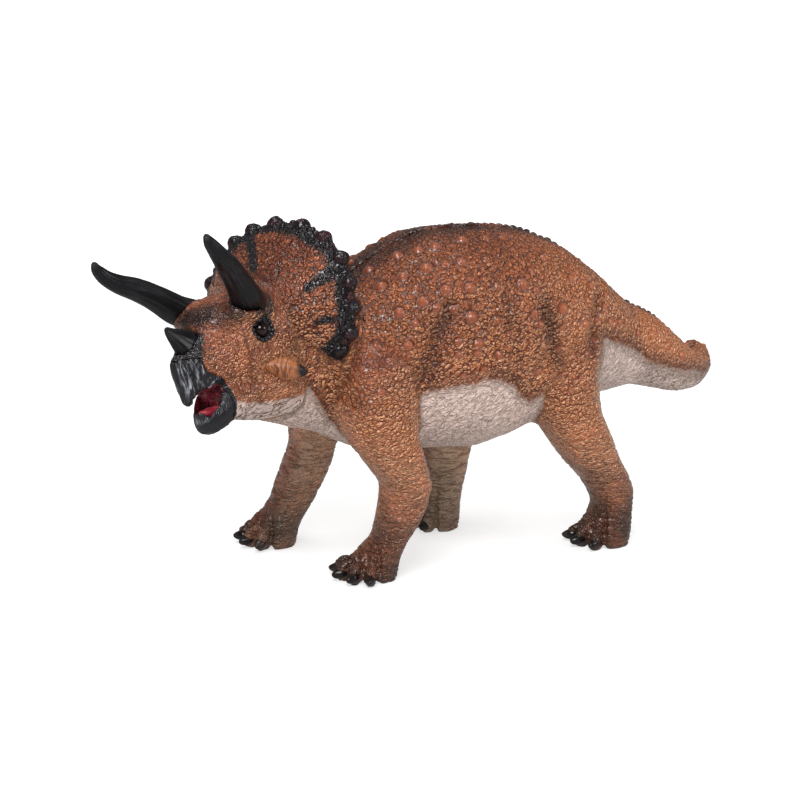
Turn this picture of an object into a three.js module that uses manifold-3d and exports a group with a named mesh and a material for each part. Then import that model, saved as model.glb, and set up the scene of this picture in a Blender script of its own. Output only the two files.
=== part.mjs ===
// A toy Triceratops figure, walking with its mouth open and its head turned to its left.
// Millimetres. The head looks along -X, the tail runs along +X, the animal's left side faces -Y, +Z is up.
// The soles stand on z = 0. Each moulded piece is a mesh of its own. Pegs and roots sit in pockets with a
// clearance.
import * as THREE from 'three';
import { mergeVertices } from 'three/addons/utils/BufferGeometryUtils.js';
import Module from 'manifold-3d';

const wasm = await Module();
wasm.setup();

// Driving dimensions
const clearance = 0.3; // gap between a root, peg or bead and its pocket
const overrun = 2; // how far a cutting shape runs past what it cuts
const trunkLength = 100; // neck root to tail seam
const trunkStart = -34; // X of the neck root
const backHeight = 84.5; // ground to the top of the back
const trunkHalfWidth = 26.5;
const limbHeight = 70; // ground to the top of a limb root
const limbReach = 60; // scale of a limb's fore-and-aft outline
const limbHalfWidth = 9.5;
const trackHalfWidth = 20; // middle plane to the middle of a footprint

// Rings of points and lofts through them
const trunkSides = 28;
const limbSides = 18;
const hornSides = 14;

/** One closed ring: an oval with its own reach up and down, turned about Z by yaw and about X by roll. */
function ovalRing(sides, { centre, half, up, down = up, yaw = 0, roll = 0, squareness = 0 }) {
  const turn = new THREE.Matrix4().makeRotationFromEuler(new THREE.Euler(-roll, 0, yaw, 'ZYX'));
  const ring = [];
  for (let i = 0; i < sides; i++) {
    const angle = (2 * Math.PI * i) / sides;
    const side = Math.cos(angle);
    const rise = Math.sin(angle);
    const fuller = 1 + squareness * (2 * side * rise) ** 2;
    const point = new THREE.Vector3(0, half * side * fuller, (rise > 0 ? up : down) * rise * fuller);
    ring.push(point.applyMatrix4(turn).add(centre));
  }
  return ring;
}

/** A ring square to a path, with one half size along "across" and the other along the third direction. */
function pathRing(sides, centre, along, across, halfAcross, halfOther) {
  const other = new THREE.Vector3().crossVectors(along, across).normalize();
  const side = new THREE.Vector3().crossVectors(other, along).normalize();
  const ring = [];
  for (let i = 0; i < sides; i++) {
    const angle = (2 * Math.PI * i) / sides;
    const point = centre.clone();
    point.addScaledVector(side, halfAcross * Math.cos(angle));
    point.addScaledVector(other, halfOther * Math.sin(angle));
    ring.push(point);
  }
  return ring;
}

function middleOf(ring) {
  const sum = new THREE.Vector3();
  for (const point of ring) {
    sum.add(point);
  }
  return sum.divideScalar(ring.length);
}

/** Skins closed rings into one closed body, with a fan at each end. */
function loft(rings) {
  const sides = rings[0].length;
  const points = rings.flat();
  const triangles = [];
  for (let r = 0; r + 1 < rings.length; r++) {
    for (let i = 0; i < sides; i++) {
      const a = r * sides + i;
      const b = r * sides + ((i + 1) % sides);
      triangles.push(a, b, b + sides, a, b + sides, a + sides);
    }
  }
  const first = points.length;
  points.push(middleOf(rings[0]), middleOf(rings[rings.length - 1]));
  const lastStart = (rings.length - 1) * sides;
  for (let i = 0; i < sides; i++) {
    const next = (i + 1) % sides;
    triangles.push(first, next, i);
    triangles.push(first + 1, lastStart + i, lastStart + next);
  }
  return solidOf(points, triangles);
}

/** A manifold solid from points and triangles, turned inside out first if its faces point in. */
function solidOf(points, triangles) {
  let volume = 0;
  for (let t = 0; t < triangles.length; t += 3) {
    const [a, b, c] = [0, 1, 2].map((k) => points[triangles[t + k]]);
    volume += a.dot(new THREE.Vector3().crossVectors(b, c));
  }
  if (volume < 0) {
    for (let t = 0; t < triangles.length; t += 3) {
      [triangles[t + 1], triangles[t + 2]] = [triangles[t + 2], triangles[t + 1]];
    }
  }
  const mesh = new wasm.Mesh({
    numProp: 3,
    vertProperties: new Float32Array(points.flatMap((point) => [point.x, point.y, point.z])),
    triVerts: new Uint32Array(triangles),
  });
  return new wasm.Manifold(mesh);
}

function solidFromGeometry(geometry) {
  const bare = geometry.clone();
  bare.deleteAttribute('normal');
  bare.deleteAttribute('uv');
  const merged = mergeVertices(bare);
  const position = merged.attributes.position;
  const points = [];
  for (let i = 0; i < position.count; i++) {
    points.push(new THREE.Vector3().fromBufferAttribute(position, i));
  }
  return solidOf(points, Array.from(merged.index.array));
}

function geometryFromSolid(solid) {
  const mesh = solid.getMesh();
  const geometry = new THREE.BufferGeometry();
  const positions = new Float32Array(mesh.vertProperties);
  geometry.setAttribute('position', new THREE.BufferAttribute(positions, 3));
  geometry.setIndex(new THREE.BufferAttribute(new Uint32Array(mesh.triVerts), 1));
  geometry.computeVertexNormals();
  return geometry;
}

/** An ellipsoid with half sizes along X, Y and Z, turned and placed. */
function ellipsoid(halfSizes, centre, rotation = new THREE.Euler(), across = 12, high = 8) {
  const geometry = new THREE.SphereGeometry(1, across, high);
  const turn = new THREE.Quaternion().setFromEuler(rotation);
  geometry.applyMatrix4(new THREE.Matrix4().compose(centre, turn, halfSizes));
  return solidFromGeometry(geometry);
}

/** A round peg between two points. */
function peg(from, to, radius) {
  const along = new THREE.Vector3().subVectors(to, from);
  const geometry = new THREE.CylinderGeometry(radius, radius, along.length(), 20);
  const upright = new THREE.Vector3(0, 1, 0);
  const turn = new THREE.Quaternion().setFromUnitVectors(upright, along.clone().normalize());
  const middle = new THREE.Vector3().addVectors(from, to).multiplyScalar(0.5);
  geometry.applyMatrix4(new THREE.Matrix4().compose(middle, turn, new THREE.Vector3(1, 1, 1)));
  return solidFromGeometry(geometry);
}

const union = (solids) => solids.reduce((whole, solid) => whole.add(solid));
const cut = (solid, tools) => tools.reduce((whole, tool) => whole.subtract(tool), solid);

/** The largest body of a cut, so that no loose sliver stays with a piece. */
function mainBody(solid) {
  const bodies = solid.decompose();
  return bodies.reduce((best, body) => (body.volume() > best.volume() ? body : best));
}

const degrees = Math.PI / 180;

// Head pose: turned to its left, left side raised, nose a little down. Its frame starts between the eyes.
const headPlace = new THREE.Vector3(-52, -10, 64.9);
const headYaw = 31 * degrees;
const headPitch = 2.9 * degrees;
const headRoll = 16.7 * degrees;
const headGroup = new THREE.Group();
headGroup.position.copy(headPlace);
headGroup.rotation.set(-headRoll, -headPitch, headYaw, 'ZYX');
headGroup.updateMatrix();

/** A solid of the head's frame, carried to the figure's frame. */
function inFigureFrame(solid) {
  return solid.transform(headGroup.matrix.toArray());
}

// Trunk: neck, chest, barrel and hips, up to the tail seam
// Each row: place along the trunk, top and bottom as shares of the back height, half width as a share
const trunkShares = [
  [0.09, 0.85, 0.42, 0.6],
  [0.19, 0.886, 0.362, 0.76],
  [0.29, 0.952, 0.343, 0.9],
  [0.39, 0.996, 0.338, 0.97],
  [0.49, 1.0, 0.325, 1.0],
  [0.59, 0.994, 0.35, 0.99],
  [0.69, 0.972, 0.392, 0.92],
  [0.79, 0.919, 0.415, 0.82],
  [0.89, 0.832, 0.437, 0.66],
  [1.0, 0.716, 0.447, 0.47],
];
const girthShare = 0.44; // height of the widest line of a section, from its bottom, as a share of its height
const trunkSquareness = 0.05;

const neckHalfWidth = 12.6;
const neckRise = 13.5; // neck middle to its top, behind the frill
const neckDrop = 16;
const neckPlace = new THREE.Vector3(11, 0, -9); // in the head's frame
const neckRootPlace = new THREE.Vector3(4, 0, -8.5);
const neckRootShare = 0.86;
const neckBasePlace = new THREE.Vector3(-33, -3.2, 55);
const neckBaseHalfWidth = 13.8;
const neckBaseRise = 15.4;
const neckBaseDrop = 17;
const neckBaseTurnShare = 0.6;

function trunkRing([place, top, bottom, half]) {
  const height = (top - bottom) * backHeight;
  const middle = bottom * backHeight + girthShare * height;
  const centre = new THREE.Vector3(trunkStart + place * trunkLength, 0, middle);
  const up = (1 - girthShare) * height;
  const down = girthShare * height;
  const sizes = { half: half * trunkHalfWidth, up, down };
  return ovalRing(trunkSides, { centre, ...sizes, squareness: trunkSquareness });
}

function makeTrunk() {
  const rings = [];
  for (const [place, share] of [[neckRootPlace, neckRootShare], [neckPlace, 1]]) {
    rings.push(ovalRing(trunkSides, {
      centre: place.clone().applyMatrix4(headGroup.matrix),
      half: share * neckHalfWidth,
      up: share * neckRise,
      down: share * neckDrop,
      yaw: headYaw,
      roll: headRoll,
    }));
  }
  rings.push(ovalRing(trunkSides, {
    centre: neckBasePlace,
    half: neckBaseHalfWidth,
    up: neckBaseRise,
    down: neckBaseDrop,
    yaw: neckBaseTurnShare * headYaw,
    roll: neckBaseTurnShare * headRoll,
  }));
  rings.push(...trunkShares.map(trunkRing));
  return loft(rings);
}

// Trunk relief: round tubercles down each side, and furrows behind the shoulder and ahead of the thigh
const tubercleRadius = 1.9;
const tubercleRiseShare = 0.4; // height over its radius
const furrowRadius = 2.6;
const furrowDepth = 0.8;
const furrowEndShare = 0.4;
// Each row: place along the trunk, turn from the top as a share of half a turn, share of the largest size
const tubercleShares = [
  [0.223, 0.183, 0.89],
  [0.225, 0.078, 0.79],
  [0.24, 0.294, 0.79],
  [0.271, 0.339, 0.63],
  [0.276, 0.189, 0.79],
  [0.294, 0.094, 0.84],
  [0.298, 0.294, 0.84],
  [0.329, 0.322, 0.74],
  [0.333, 0.2, 1.0],
  [0.342, 0.122, 0.84],
  [0.36, 0.283, 0.79],
  [0.369, 0.456, 0.58],
  [0.37, 0.422, 0.63],
  [0.38, 0.211, 0.63],
  [0.381, 0.133, 0.89],
  [0.41, 0.367, 1.0],
  [0.419, 0.456, 0.58],
  [0.422, 0.294, 0.84],
  [0.423, 0.433, 0.84],
  [0.424, 0.211, 0.79],
  [0.461, 0.128, 0.95],
  [0.48, 0.378, 0.74],
  [0.491, 0.217, 0.63],
  [0.496, 0.294, 0.63],
  [0.523, 0.128, 0.89],
  [0.569, 0.294, 1.0],
  [0.576, 0.128, 0.84],
  [0.586, 0.372, 0.89],
  [0.681, 0.367, 1.0],
];
// Each row: place along the trunk, and turn from the top as a share of half a turn
const shoulderFurrowShares = [[0.383, 0.3], [0.358, 0.333], [0.322, 0.389], [0.3, 0.433], [0.269, 0.539]];
const thighFurrowShares = [[0.612, 0.306], [0.623, 0.378], [0.643, 0.478], [0.595, 0.544], [0.548, 0.6]];

/** The trunk's shares at a place along it. */
function trunkSection(place) {
  const after = Math.max(trunkShares.findIndex(([start]) => start >= place), 1);
  const low = trunkShares[after - 1];
  const high = trunkShares[after];
  const share = (place - low[0]) / (high[0] - low[0]);
  return low.map((value, i) => value + share * (high[i] - value));
}

function trunkPoint(place, turnShare, side) {
  const [, top, bottom, half] = trunkSection(place);
  const height = (top - bottom) * backHeight;
  const across = Math.sin(turnShare * Math.PI);
  const rise = Math.cos(turnShare * Math.PI);
  const fuller = 1 + trunkSquareness * (2 * across * rise) ** 2;
  const reach = (rise > 0 ? 1 - girthShare : girthShare) * height;
  return new THREE.Vector3(
    trunkStart + place * trunkLength,
    side * half * trunkHalfWidth * across * fuller,
    bottom * backHeight + girthShare * height + reach * rise * fuller,
  );
}

function trunkNormal(place, turnShare, side) {
  const stepShare = 0.01;
  const [rear, front, low, high] = [
    trunkPoint(place + stepShare, turnShare, side),
    trunkPoint(place - stepShare, turnShare, side),
    trunkPoint(place, turnShare + stepShare, side),
    trunkPoint(place, turnShare - stepShare, side),
  ];
  return rear.sub(front).cross(low.sub(high)).multiplyScalar(side).normalize();
}

function tubercle([place, turnShare, sizeShare], side) {
  const radius = sizeShare * tubercleRadius;
  const upright = new THREE.Vector3(0, 1, 0);
  const turn = new THREE.Quaternion().setFromUnitVectors(upright, trunkNormal(place, turnShare, side));
  const halfSizes = new THREE.Vector3(radius, tubercleRiseShare * radius, radius);
  const angles = new THREE.Euler().setFromQuaternion(turn);
  return ellipsoid(halfSizes, trunkPoint(place, turnShare, side), angles, 8, 6);
}

/** A rod that lies along the trunk's side, sunk into it by the furrow's depth, and runs out at both ends. */
function furrow(shares, side) {
  const places = shares.map(([place, turnShare]) => {
    const lift = trunkNormal(place, turnShare, side).multiplyScalar(furrowRadius - furrowDepth);
    return trunkPoint(place, turnShare, side).add(lift);
  });
  const last = places.length - 1;
  const radii = places.map((_, i) => (i % last === 0 ? furrowEndShare : 1) * furrowRadius);
  const along = places[last].clone().sub(places[0]).normalize();
  const across = new THREE.Vector3(0, 1, 0);
  return loft(places.map((place, i) => pathRing(hornSides, place, along, across, radii[i], radii[i])));
}

function texturedTrunk() {
  const both = (make, rows) => [-1, 1].flatMap((side) => rows.map((row) => make(row, side)));
  const raised = union([makeTrunk(), ...both(tubercle, tubercleShares)]);
  return cut(raised, both(furrow, [shoulderFurrowShares, thighFurrowShares]));
}

// Tail: carries on from the trunk's last section, then bends to the animal's right and rises a little
const tailReach = 40; // tail seam to tip, along X
const tailSwing = 25.5; // how far the tip lies to the right
const tailPegLength = 9;
const tailPegRadius = 5;
const tailTipRadius = 1;
// Each row: reach and swing as shares, then height, upright radius and sideways radius as shares of the half
// height of the trunk's last section
const tailShares = [
  [0.16, 0.0, -0.255, 0.87, 0.862],
  [0.33, 0.03, -0.572, 0.72, 0.71],
  [0.5, 0.08, -0.88, 0.58, 0.57],
  [0.64, 0.2, -1.02, 0.484, 0.495],
  [0.78, 0.39, -1.01, 0.422, 0.44],
  [0.89, 0.62, -0.95, 0.334, 0.345],
  [0.96, 0.85, -0.906, 0.229, 0.226],
];

function makeTail() {
  const [, top, bottom, half] = trunkShares[trunkShares.length - 1];
  const seamHalfHeight = ((top - bottom) * backHeight) / 2;
  const seamX = trunkStart + trunkLength + clearance;
  const seamMiddle = new THREE.Vector3(seamX, 0, bottom * backHeight + seamHalfHeight);
  const tip = seamMiddle.clone().add(new THREE.Vector3(tailReach, tailSwing, 0));
  tip.z += tailShares[tailShares.length - 1][2] * seamHalfHeight;
  const first = trunkRing([1, top, bottom, half]);
  for (const point of first) {
    point.x = seamX;
  }
  const rings = [first];
  const middles = tailShares.map(([reach, swing, height]) => {
    const offset = new THREE.Vector3(reach * tailReach, swing * tailSwing, height * seamHalfHeight);
    return offset.add(seamMiddle);
  });
  middles.push(tip);
  for (let i = 0; i < middles.length; i++) {
    const before = i > 0 ? middles[i - 1] : seamMiddle;
    const after = middles[Math.min(i + 1, middles.length - 1)];
    const along = new THREE.Vector3().subVectors(after, before).normalize();
    const [upright, sideways] = i < tailShares.length
      ? tailShares[i].slice(3).map((share) => share * seamHalfHeight)
      : [tailTipRadius, tailTipRadius];
    const across = new THREE.Vector3(-along.y, along.x, 0).normalize();
    const ring = pathRing(trunkSides, middles[i], along, across, sideways, upright);
    rings.push(matchTurn(rings[rings.length - 1], ring));
  }
  const pegEnd = seamMiddle.clone().setX(seamX - tailPegLength);
  const tailPeg = peg(pegEnd, seamMiddle.clone().setX(seamX + overrun), tailPegRadius);
  const pocketEnd = pegEnd.clone().setX(pegEnd.x - clearance);
  const pocket = peg(pocketEnd, seamMiddle.clone().setX(seamX + overrun), tailPegRadius + clearance);
  return { tail: loft(rings).add(tailPeg), pocket };
}

/** Starts a ring at the point nearest the last ring's start, and runs it the same way round. */
function matchTurn(previous, ring) {
  const count = ring.length;
  let best = null;
  for (const way of [1, -1]) {
    for (let start = 0; start < count; start++) {
      let sum = 0;
      for (let i = 0; i < count; i += 4) {
        sum += previous[i].distanceToSquared(ring[(((start + way * i) % count) + count) % count]);
      }
      if (!best || sum < best.sum) {
        best = { sum, way, start };
      }
    }
  }
  return ring.map((_, i) => ring[(((best.start + best.way * i) % count) + count) % count]);
}

// Limbs: each runs from its sole to a rounded root inside the trunk
// Each row: height, front and rear edge from the footprint's middle, sideways place, half width
const frontLimbShares = {
  left: [
    [0.0, -0.058, 0.13, 0.78, 0.74],
    [0.036, -0.078, 0.14, 0.78, 0.77],
    [0.079, -0.028, 0.142, 0.8, 0.73],
    [0.143, 0.04, 0.168, 0.87, 0.65],
    [0.22, 0.045, 0.22, 0.96, 0.66],
    [0.29, 0.063, 0.255, 0.96, 0.73],
    [0.35, 0.07, 0.263, 0.97, 0.8],
    [0.443, -0.012, 0.232, 0.97, 0.9],
    [0.529, -0.088, 0.203, 0.93, 0.98],
    [0.643, -0.117, 0.208, 0.86, 1.0],
    [0.786, -0.083, 0.225, 0.76, 0.9],
    [0.886, -0.017, 0.192, 0.56, 0.68],
    [0.943, 0.05, 0.15, 0.48, 0.4],
  ],
  right: [
    [0.0, -0.068, 0.107, 1.12, 0.74],
    [0.036, -0.083, 0.117, 1.12, 0.77],
    [0.071, -0.062, 0.125, 1.12, 0.75],
    [0.114, -0.018, 0.15, 1.1, 0.71],
    [0.164, 0.02, 0.192, 1.07, 0.67],
    [0.237, 0.044, 0.24, 1.05, 0.68],
    [0.3, 0.069, 0.265, 1.0, 0.74],
    [0.386, 0.108, 0.287, 0.97, 0.8],
    [0.457, 0.097, 0.313, 0.95, 0.9],
    [0.543, 0.078, 0.344, 0.92, 0.98],
    [0.657, 0.073, 0.362, 0.86, 1.0],
    [0.8, 0.105, 0.372, 0.76, 0.9],
    [0.9, 0.172, 0.322, 0.56, 0.68],
    [0.943, 0.217, 0.283, 0.48, 0.4],
  ],
};
const hindLimbShares = {
  left: [
    [0.0, -0.072, 0.118, 0.89, 0.76],
    [0.043, -0.09, 0.128, 0.89, 0.79],
    [0.079, -0.06, 0.13, 0.89, 0.76],
    [0.114, -0.034, 0.13, 0.91, 0.71],
    [0.157, -0.02, 0.13, 0.93, 0.67],
    [0.214, -0.055, 0.131, 0.95, 0.71],
    [0.271, -0.102, 0.104, 0.95, 0.76],
    [0.343, -0.184, 0.051, 0.95, 0.86],
    [0.429, -0.253, 0.008, 0.94, 0.97],
    [0.529, -0.33, -0.042, 0.88, 1.07],
    [0.643, -0.378, -0.045, 0.78, 1.16],
    [0.771, -0.37, 0.0, 0.68, 1.13],
    [0.886, -0.312, -0.01, 0.54, 0.84],
    [0.957, -0.255, -0.025, 0.46, 0.5],
  ],
  right: [
    [0.0, -0.09, 0.06, 0.8, 0.76],
    [0.043, -0.107, 0.068, 0.8, 0.79],
    [0.079, -0.105, 0.07, 0.8, 0.78],
    [0.114, -0.093, 0.078, 0.81, 0.73],
    [0.157, -0.077, 0.095, 0.83, 0.69],
    [0.214, -0.068, 0.12, 0.86, 0.72],
    [0.286, -0.057, 0.138, 0.88, 0.77],
    [0.371, -0.05, 0.186, 0.91, 0.87],
    [0.457, -0.043, 0.247, 0.91, 0.98],
    [0.543, -0.035, 0.323, 0.88, 1.08],
    [0.657, -0.01, 0.39, 0.8, 1.17],
    [0.786, 0.057, 0.423, 0.7, 1.13],
    [0.9, 0.14, 0.39, 0.54, 0.84],
    [0.957, 0.195, 0.35, 0.46, 0.5],
  ],
};
const limbSquareness = 0.08;
const toeLength = 3.1; // half sizes of a toe
const toeWidth = 2.1;
const toeHeight = 2.9;
const toeRise = 2.1; // toe middle above the ground
const toeInset = 0.8; // toe middle behind the foot's edge
const frontToeAngles = [-38, -4, 28, 60];
const hindToeAngles = [-30, 4, 38];

function limbRing(limb, [height, front, rear, side, half], grow) {
  const frontX = limb.footX + front * limbReach - grow;
  const rearX = limb.footX + rear * limbReach + grow;
  const across = limb.side * side * trackHalfWidth;
  const centre = new THREE.Vector3((frontX + rearX) / 2, across, height * limbHeight);
  const halfAcross = half * limbHalfWidth + grow;
  const ring = [];
  for (let i = 0; i < limbSides; i++) {
    const angle = (2 * Math.PI * i) / limbSides;
    const fuller = 1 + limbSquareness * Math.sin(2 * angle) ** 2;
    const reach = ((rearX - frontX) / 2) * fuller * Math.cos(angle);
    const width = halfAcross * fuller * Math.sin(angle);
    ring.push(centre.clone().add(new THREE.Vector3(reach, width, 0)));
  }
  return ring;
}

/** A limb's body; grown by the clearance it becomes the pocket for its root. */
function limbBody(limb, grow = 0) {
  const rings = limb.shares.map((row) => limbRing(limb, row, grow));
  for (const point of rings[rings.length - 1]) {
    point.z += grow;
  }
  return loft(rings);
}

function makeLimb(limb) {
  const [, front, rear, side, half] = limb.shares[1];
  const halfLength = ((rear - front) / 2) * limbReach - toeInset;
  const halfWidth = half * limbHalfWidth - toeInset;
  const middleX = limb.footX + ((front + rear) / 2) * limbReach;
  const solids = [limbBody(limb)];
  for (const toeAngle of limb.toeAngles) {
    const angle = toeAngle * degrees;
    const place = new THREE.Vector3(
      middleX - halfLength * Math.cos(angle),
      limb.side * (side * trackHalfWidth + halfWidth * Math.sin(angle)),
      toeRise,
    );
    const turn = new THREE.Euler(0, 0, -limb.side * angle);
    solids.push(ellipsoid(new THREE.Vector3(toeLength, toeWidth, toeHeight), place, turn, 10, 8));
  }
  const ground = new THREE.BoxGeometry(limbReach, limbReach, limbHeight);
  ground.translate(middleX, limb.side * side * trackHalfWidth, -limbHeight / 2);
  return union(solids).subtract(solidFromGeometry(ground));
}

const frontLeftFootX = -18.7; // footprint middles along the body
const frontRightFootX = -27.3;
const hindLeftFootX = 49.7;
const hindRightFootX = 20.6;
const limbs = [
  {
    name: 'leg_front_left',
    footX: frontLeftFootX,
    side: -1,
    shares: frontLimbShares.left,
    toeAngles: frontToeAngles,
  },
  {
    name: 'leg_front_right',
    footX: frontRightFootX,
    side: 1,
    shares: frontLimbShares.right,
    toeAngles: frontToeAngles,
  },
  {
    name: 'leg_hind_left',
    footX: hindLeftFootX,
    side: -1,
    shares: hindLimbShares.left,
    toeAngles: hindToeAngles,
  },
  {
    name: 'leg_hind_right',
    footX: hindRightFootX,
    side: 1,
    shares: hindLimbShares.right,
    toeAngles: hindToeAngles,
  },
];

// Head, in its own frame: the face looks along -X, the left side faces -Y
const snoutLength = 24; // eyes to beak front
const napeLength = 9; // eyes to the back of the cheeks
const headDepth = 25; // eye line to the throat
const headHalfWidth = 13;
// Each row: place from the beak front (-1) past the eyes (0) in snout lengths, top, bottom, half width
const upperFaceShares = [
  [-1.0, -0.05, -0.17, 0.06],
  [-0.96, 0.01, -0.4, 0.13],
  [-0.85, 0.04, -0.42, 0.24],
  [-0.71, 0.1, -0.41, 0.4],
  [-0.54, 0.18, -0.41, 0.52],
  [-0.38, 0.33, -0.48, 0.64],
  [-0.17, 0.4, -0.56, 0.75],
  [0.04, 0.42, -0.6, 0.85],
  [0.21, 0.42, -0.6, 0.94],
];
const lowerFaceShares = [
  [-0.84, -0.62, -0.72, 0.08],
  [-0.81, -0.54, -0.785, 0.18],
  [-0.71, -0.48, -0.812, 0.3],
  [-0.56, -0.4, -0.79, 0.43],
  [-0.38, -0.36, -0.757, 0.55],
  [-0.17, -0.32, -0.8, 0.68],
  [0.08, -0.28, -0.87, 0.82],
];
const cheekBackShares = { upper: [0.42, -0.56, 1.0], lower: [-0.24, -0.94, 0.93] };

function faceRing([top, bottom, half], x, grow) {
  const height = (top - bottom) * headDepth;
  return ovalRing(limbSides, {
    centre: new THREE.Vector3(x, 0, bottom * headDepth + height / 2),
    half: half * headHalfWidth + grow,
    up: height / 2 + grow,
    squareness: trunkSquareness,
  });
}

function faceLoft(shares, back, grow = 0) {
  const rings = shares.map(([place, ...sizes]) => faceRing(sizes, place * snoutLength, grow));
  rings.push(faceRing(back, napeLength + grow, grow));
  return loft(rings);
}

// Frill: a leaning shield round the nape, dished in front, with a thick rim
const frillPlace = 20.7; // eyes to the frill's middle
const frillLean = 13.8 * degrees;
const frillHalfWidth = 22.8;
const frillRise = 19.8;
const frillDrop = 16.5;
const frillMiddleHeight = 2.5;
const frillSquareness = 0.14; // fuller lower corners
const frillDepth = 21; // front root to rear face
// Each row: size of the outline and place through the depth, from the root round to the rear face
const frillShares = [
  [0.3, 0.0],
  [0.5, 0.31],
  [0.7, 0.53],
  [0.86, 0.7],
  [0.95, 0.79],
  [0.99, 0.89],
  [0.96, 0.99],
  [0.87, 1.0],
  [0.6, 0.97],
];
const frillSides = 40;
const frillRimShare = 0.79; // the rim's front edge lies this share of the depth from the root
const knobLength = 2; // half sizes of a rim knob: along the rim, out from it, through it
const knobReach = 1.9;
const knobDepth = 2.2;
const knobSizeShare = 0.98; // size of the outline that the knobs' middles lie on
// Turn of each knob from the frill's top, as a share of half a turn, from its right round to its left
const knobTurnShares = [
  -0.77, -0.68, -0.575, -0.465, -0.355, -0.255, -0.16, -0.07,
  0.035, 0.155, 0.265, 0.375, 0.48, 0.592, 0.698, 0.775,
];

/** A point of the frill's outline at an angle from the top, grown to a size. */
function frillPoint(angle, size, through, grow = 0) {
  const rise = Math.cos(angle);
  const fuller = rise > 0 ? 1 : 1 + frillSquareness * Math.sin(2 * angle) ** 2;
  const width = size * fuller * frillHalfWidth + grow;
  const height = size * fuller * (rise > 0 ? frillRise : frillDrop) + grow;
  const leanShift = Math.tan(frillLean) * height * rise;
  const x = frillPlace + (through - frillRimShare) * frillDepth + leanShift;
  return new THREE.Vector3(x, -width * Math.sin(angle), frillMiddleHeight + height * rise);
}

function frillBody(grow = 0) {
  const rings = frillShares.map(([size, through], index) => {
    const rear = through > frillRimShare ? grow : -grow;
    const ring = [];
    for (let i = 0; i < frillSides; i++) {
      const point = frillPoint((2 * Math.PI * i) / frillSides, size, through, grow);
      point.x += rear;
      ring.push(point);
    }
    return ring;
  });
  return loft(rings);
}

function frillKnobs(grow = 0) {
  const halfSizes = new THREE.Vector3(knobDepth, knobLength, knobReach).addScalar(grow);
  return knobTurnShares.map((turnShare) => {
    const angle = turnShare * Math.PI;
    const place = frillPoint(angle, knobSizeShare, (1 + frillRimShare) / 2);
    return ellipsoid(halfSizes, place, new THREE.Euler(angle, frillLean, 0, 'YXZ'), 10, 6);
  });
}

// Brow horns: long, spreading, sagging a little and turned up at the tip
const browHornReach = 21.5; // root to tip, forward
const browHornSpread = 8.6;
const browHornRise = 19.2;
const browHornRoot = new THREE.Vector3(0.8, -8.4, 6.4); // left one; the right one mirrors it
const browHornRadius = 4.7;
const browHornShares = [
  [0.0, 0.0, 0.0, 0.88],
  [0.175, 0.245, 0.136, 0.86],
  [0.364, 0.466, 0.353, 0.74],
  [0.548, 0.683, 0.53, 0.65],
  [0.72, 0.88, 0.655, 0.54],
  [0.86, 1.0, 0.785, 0.43],
  [0.95, 1.035, 0.911, 0.31],
  [0.98, 1.03, 1.01, 0.14],
];

function browHorn(side, grow = 0) {
  const root = new THREE.Vector3(browHornRoot.x, -side * browHornRoot.y, browHornRoot.z);
  const places = browHornShares.map(([reach, spread, rise]) => {
    const offset = new THREE.Vector3(-reach * browHornReach, 0, rise * browHornRise);
    offset.y = side * spread * browHornSpread;
    return offset.add(root);
  });
  return hornLoft(places, browHornShares.map((row) => row[3] * browHornRadius), 1, grow);
}

/** A horn through given places; its root end also grows, so that a grown one is its pocket. */
function hornLoft(places, radii, flatness, grow) {
  const rings = [];
  for (let i = 0; i < places.length; i++) {
    const before = places[Math.max(i - 1, 0)];
    const after = places[Math.min(i + 1, places.length - 1)];
    const along = new THREE.Vector3().subVectors(after, before).normalize();
    const across = new THREE.Vector3(0, 1, 0);
    const place = i === 0 ? places[0].clone().addScaledVector(along, -grow) : places[i];
    rings.push(pathRing(hornSides, place, along, across, flatness * radii[i] + grow, radii[i] + grow));
  }
  return loft(rings);
}

// Nose horn: a short blade over the beak
const noseHornShares = [
  [-0.62, -0.08, 0.19],
  [-0.68, 0.03, 0.2],
  [-0.79, 0.13, 0.135],
  [-0.87, 0.2, 0.085],
  [-0.94, 0.27, 0.04],
];
const noseHornFlatness = 0.5;

function noseHorn(grow = 0) {
  const places = noseHornShares.map(([reach, rise]) => (
    new THREE.Vector3(reach * snoutLength, 0, rise * headDepth)
  ));
  return hornLoft(places, noseHornShares.map((row) => row[2] * snoutLength), noseHornFlatness, grow);
}

// Cheek spikes: short cones that point out, back and down
const cheekSpikeRoot = new THREE.Vector3(-2, 9, -8.4);
const cheekSpikeTip = new THREE.Vector3(5.4, 15.2, -13.4);
const cheekSpikeRadius = 2.7;
const cheekSpikeShares = [
  [0.0, 0.5],
  [0.15, 0.8],
  [0.35, 1.0],
  [0.62, 0.86],
  [0.82, 0.58],
  [0.95, 0.33],
  [1.0, 0.15],
];

function cheekSpike(side, grow = 0) {
  const mirror = new THREE.Vector3(1, side, 1);
  const root = cheekSpikeRoot.clone().multiply(mirror);
  const tip = cheekSpikeTip.clone().multiply(mirror);
  const places = cheekSpikeShares.map(([share]) => root.clone().lerp(tip, share));
  return hornLoft(places, cheekSpikeShares.map((row) => row[1] * cheekSpikeRadius), 1, grow);
}

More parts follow.
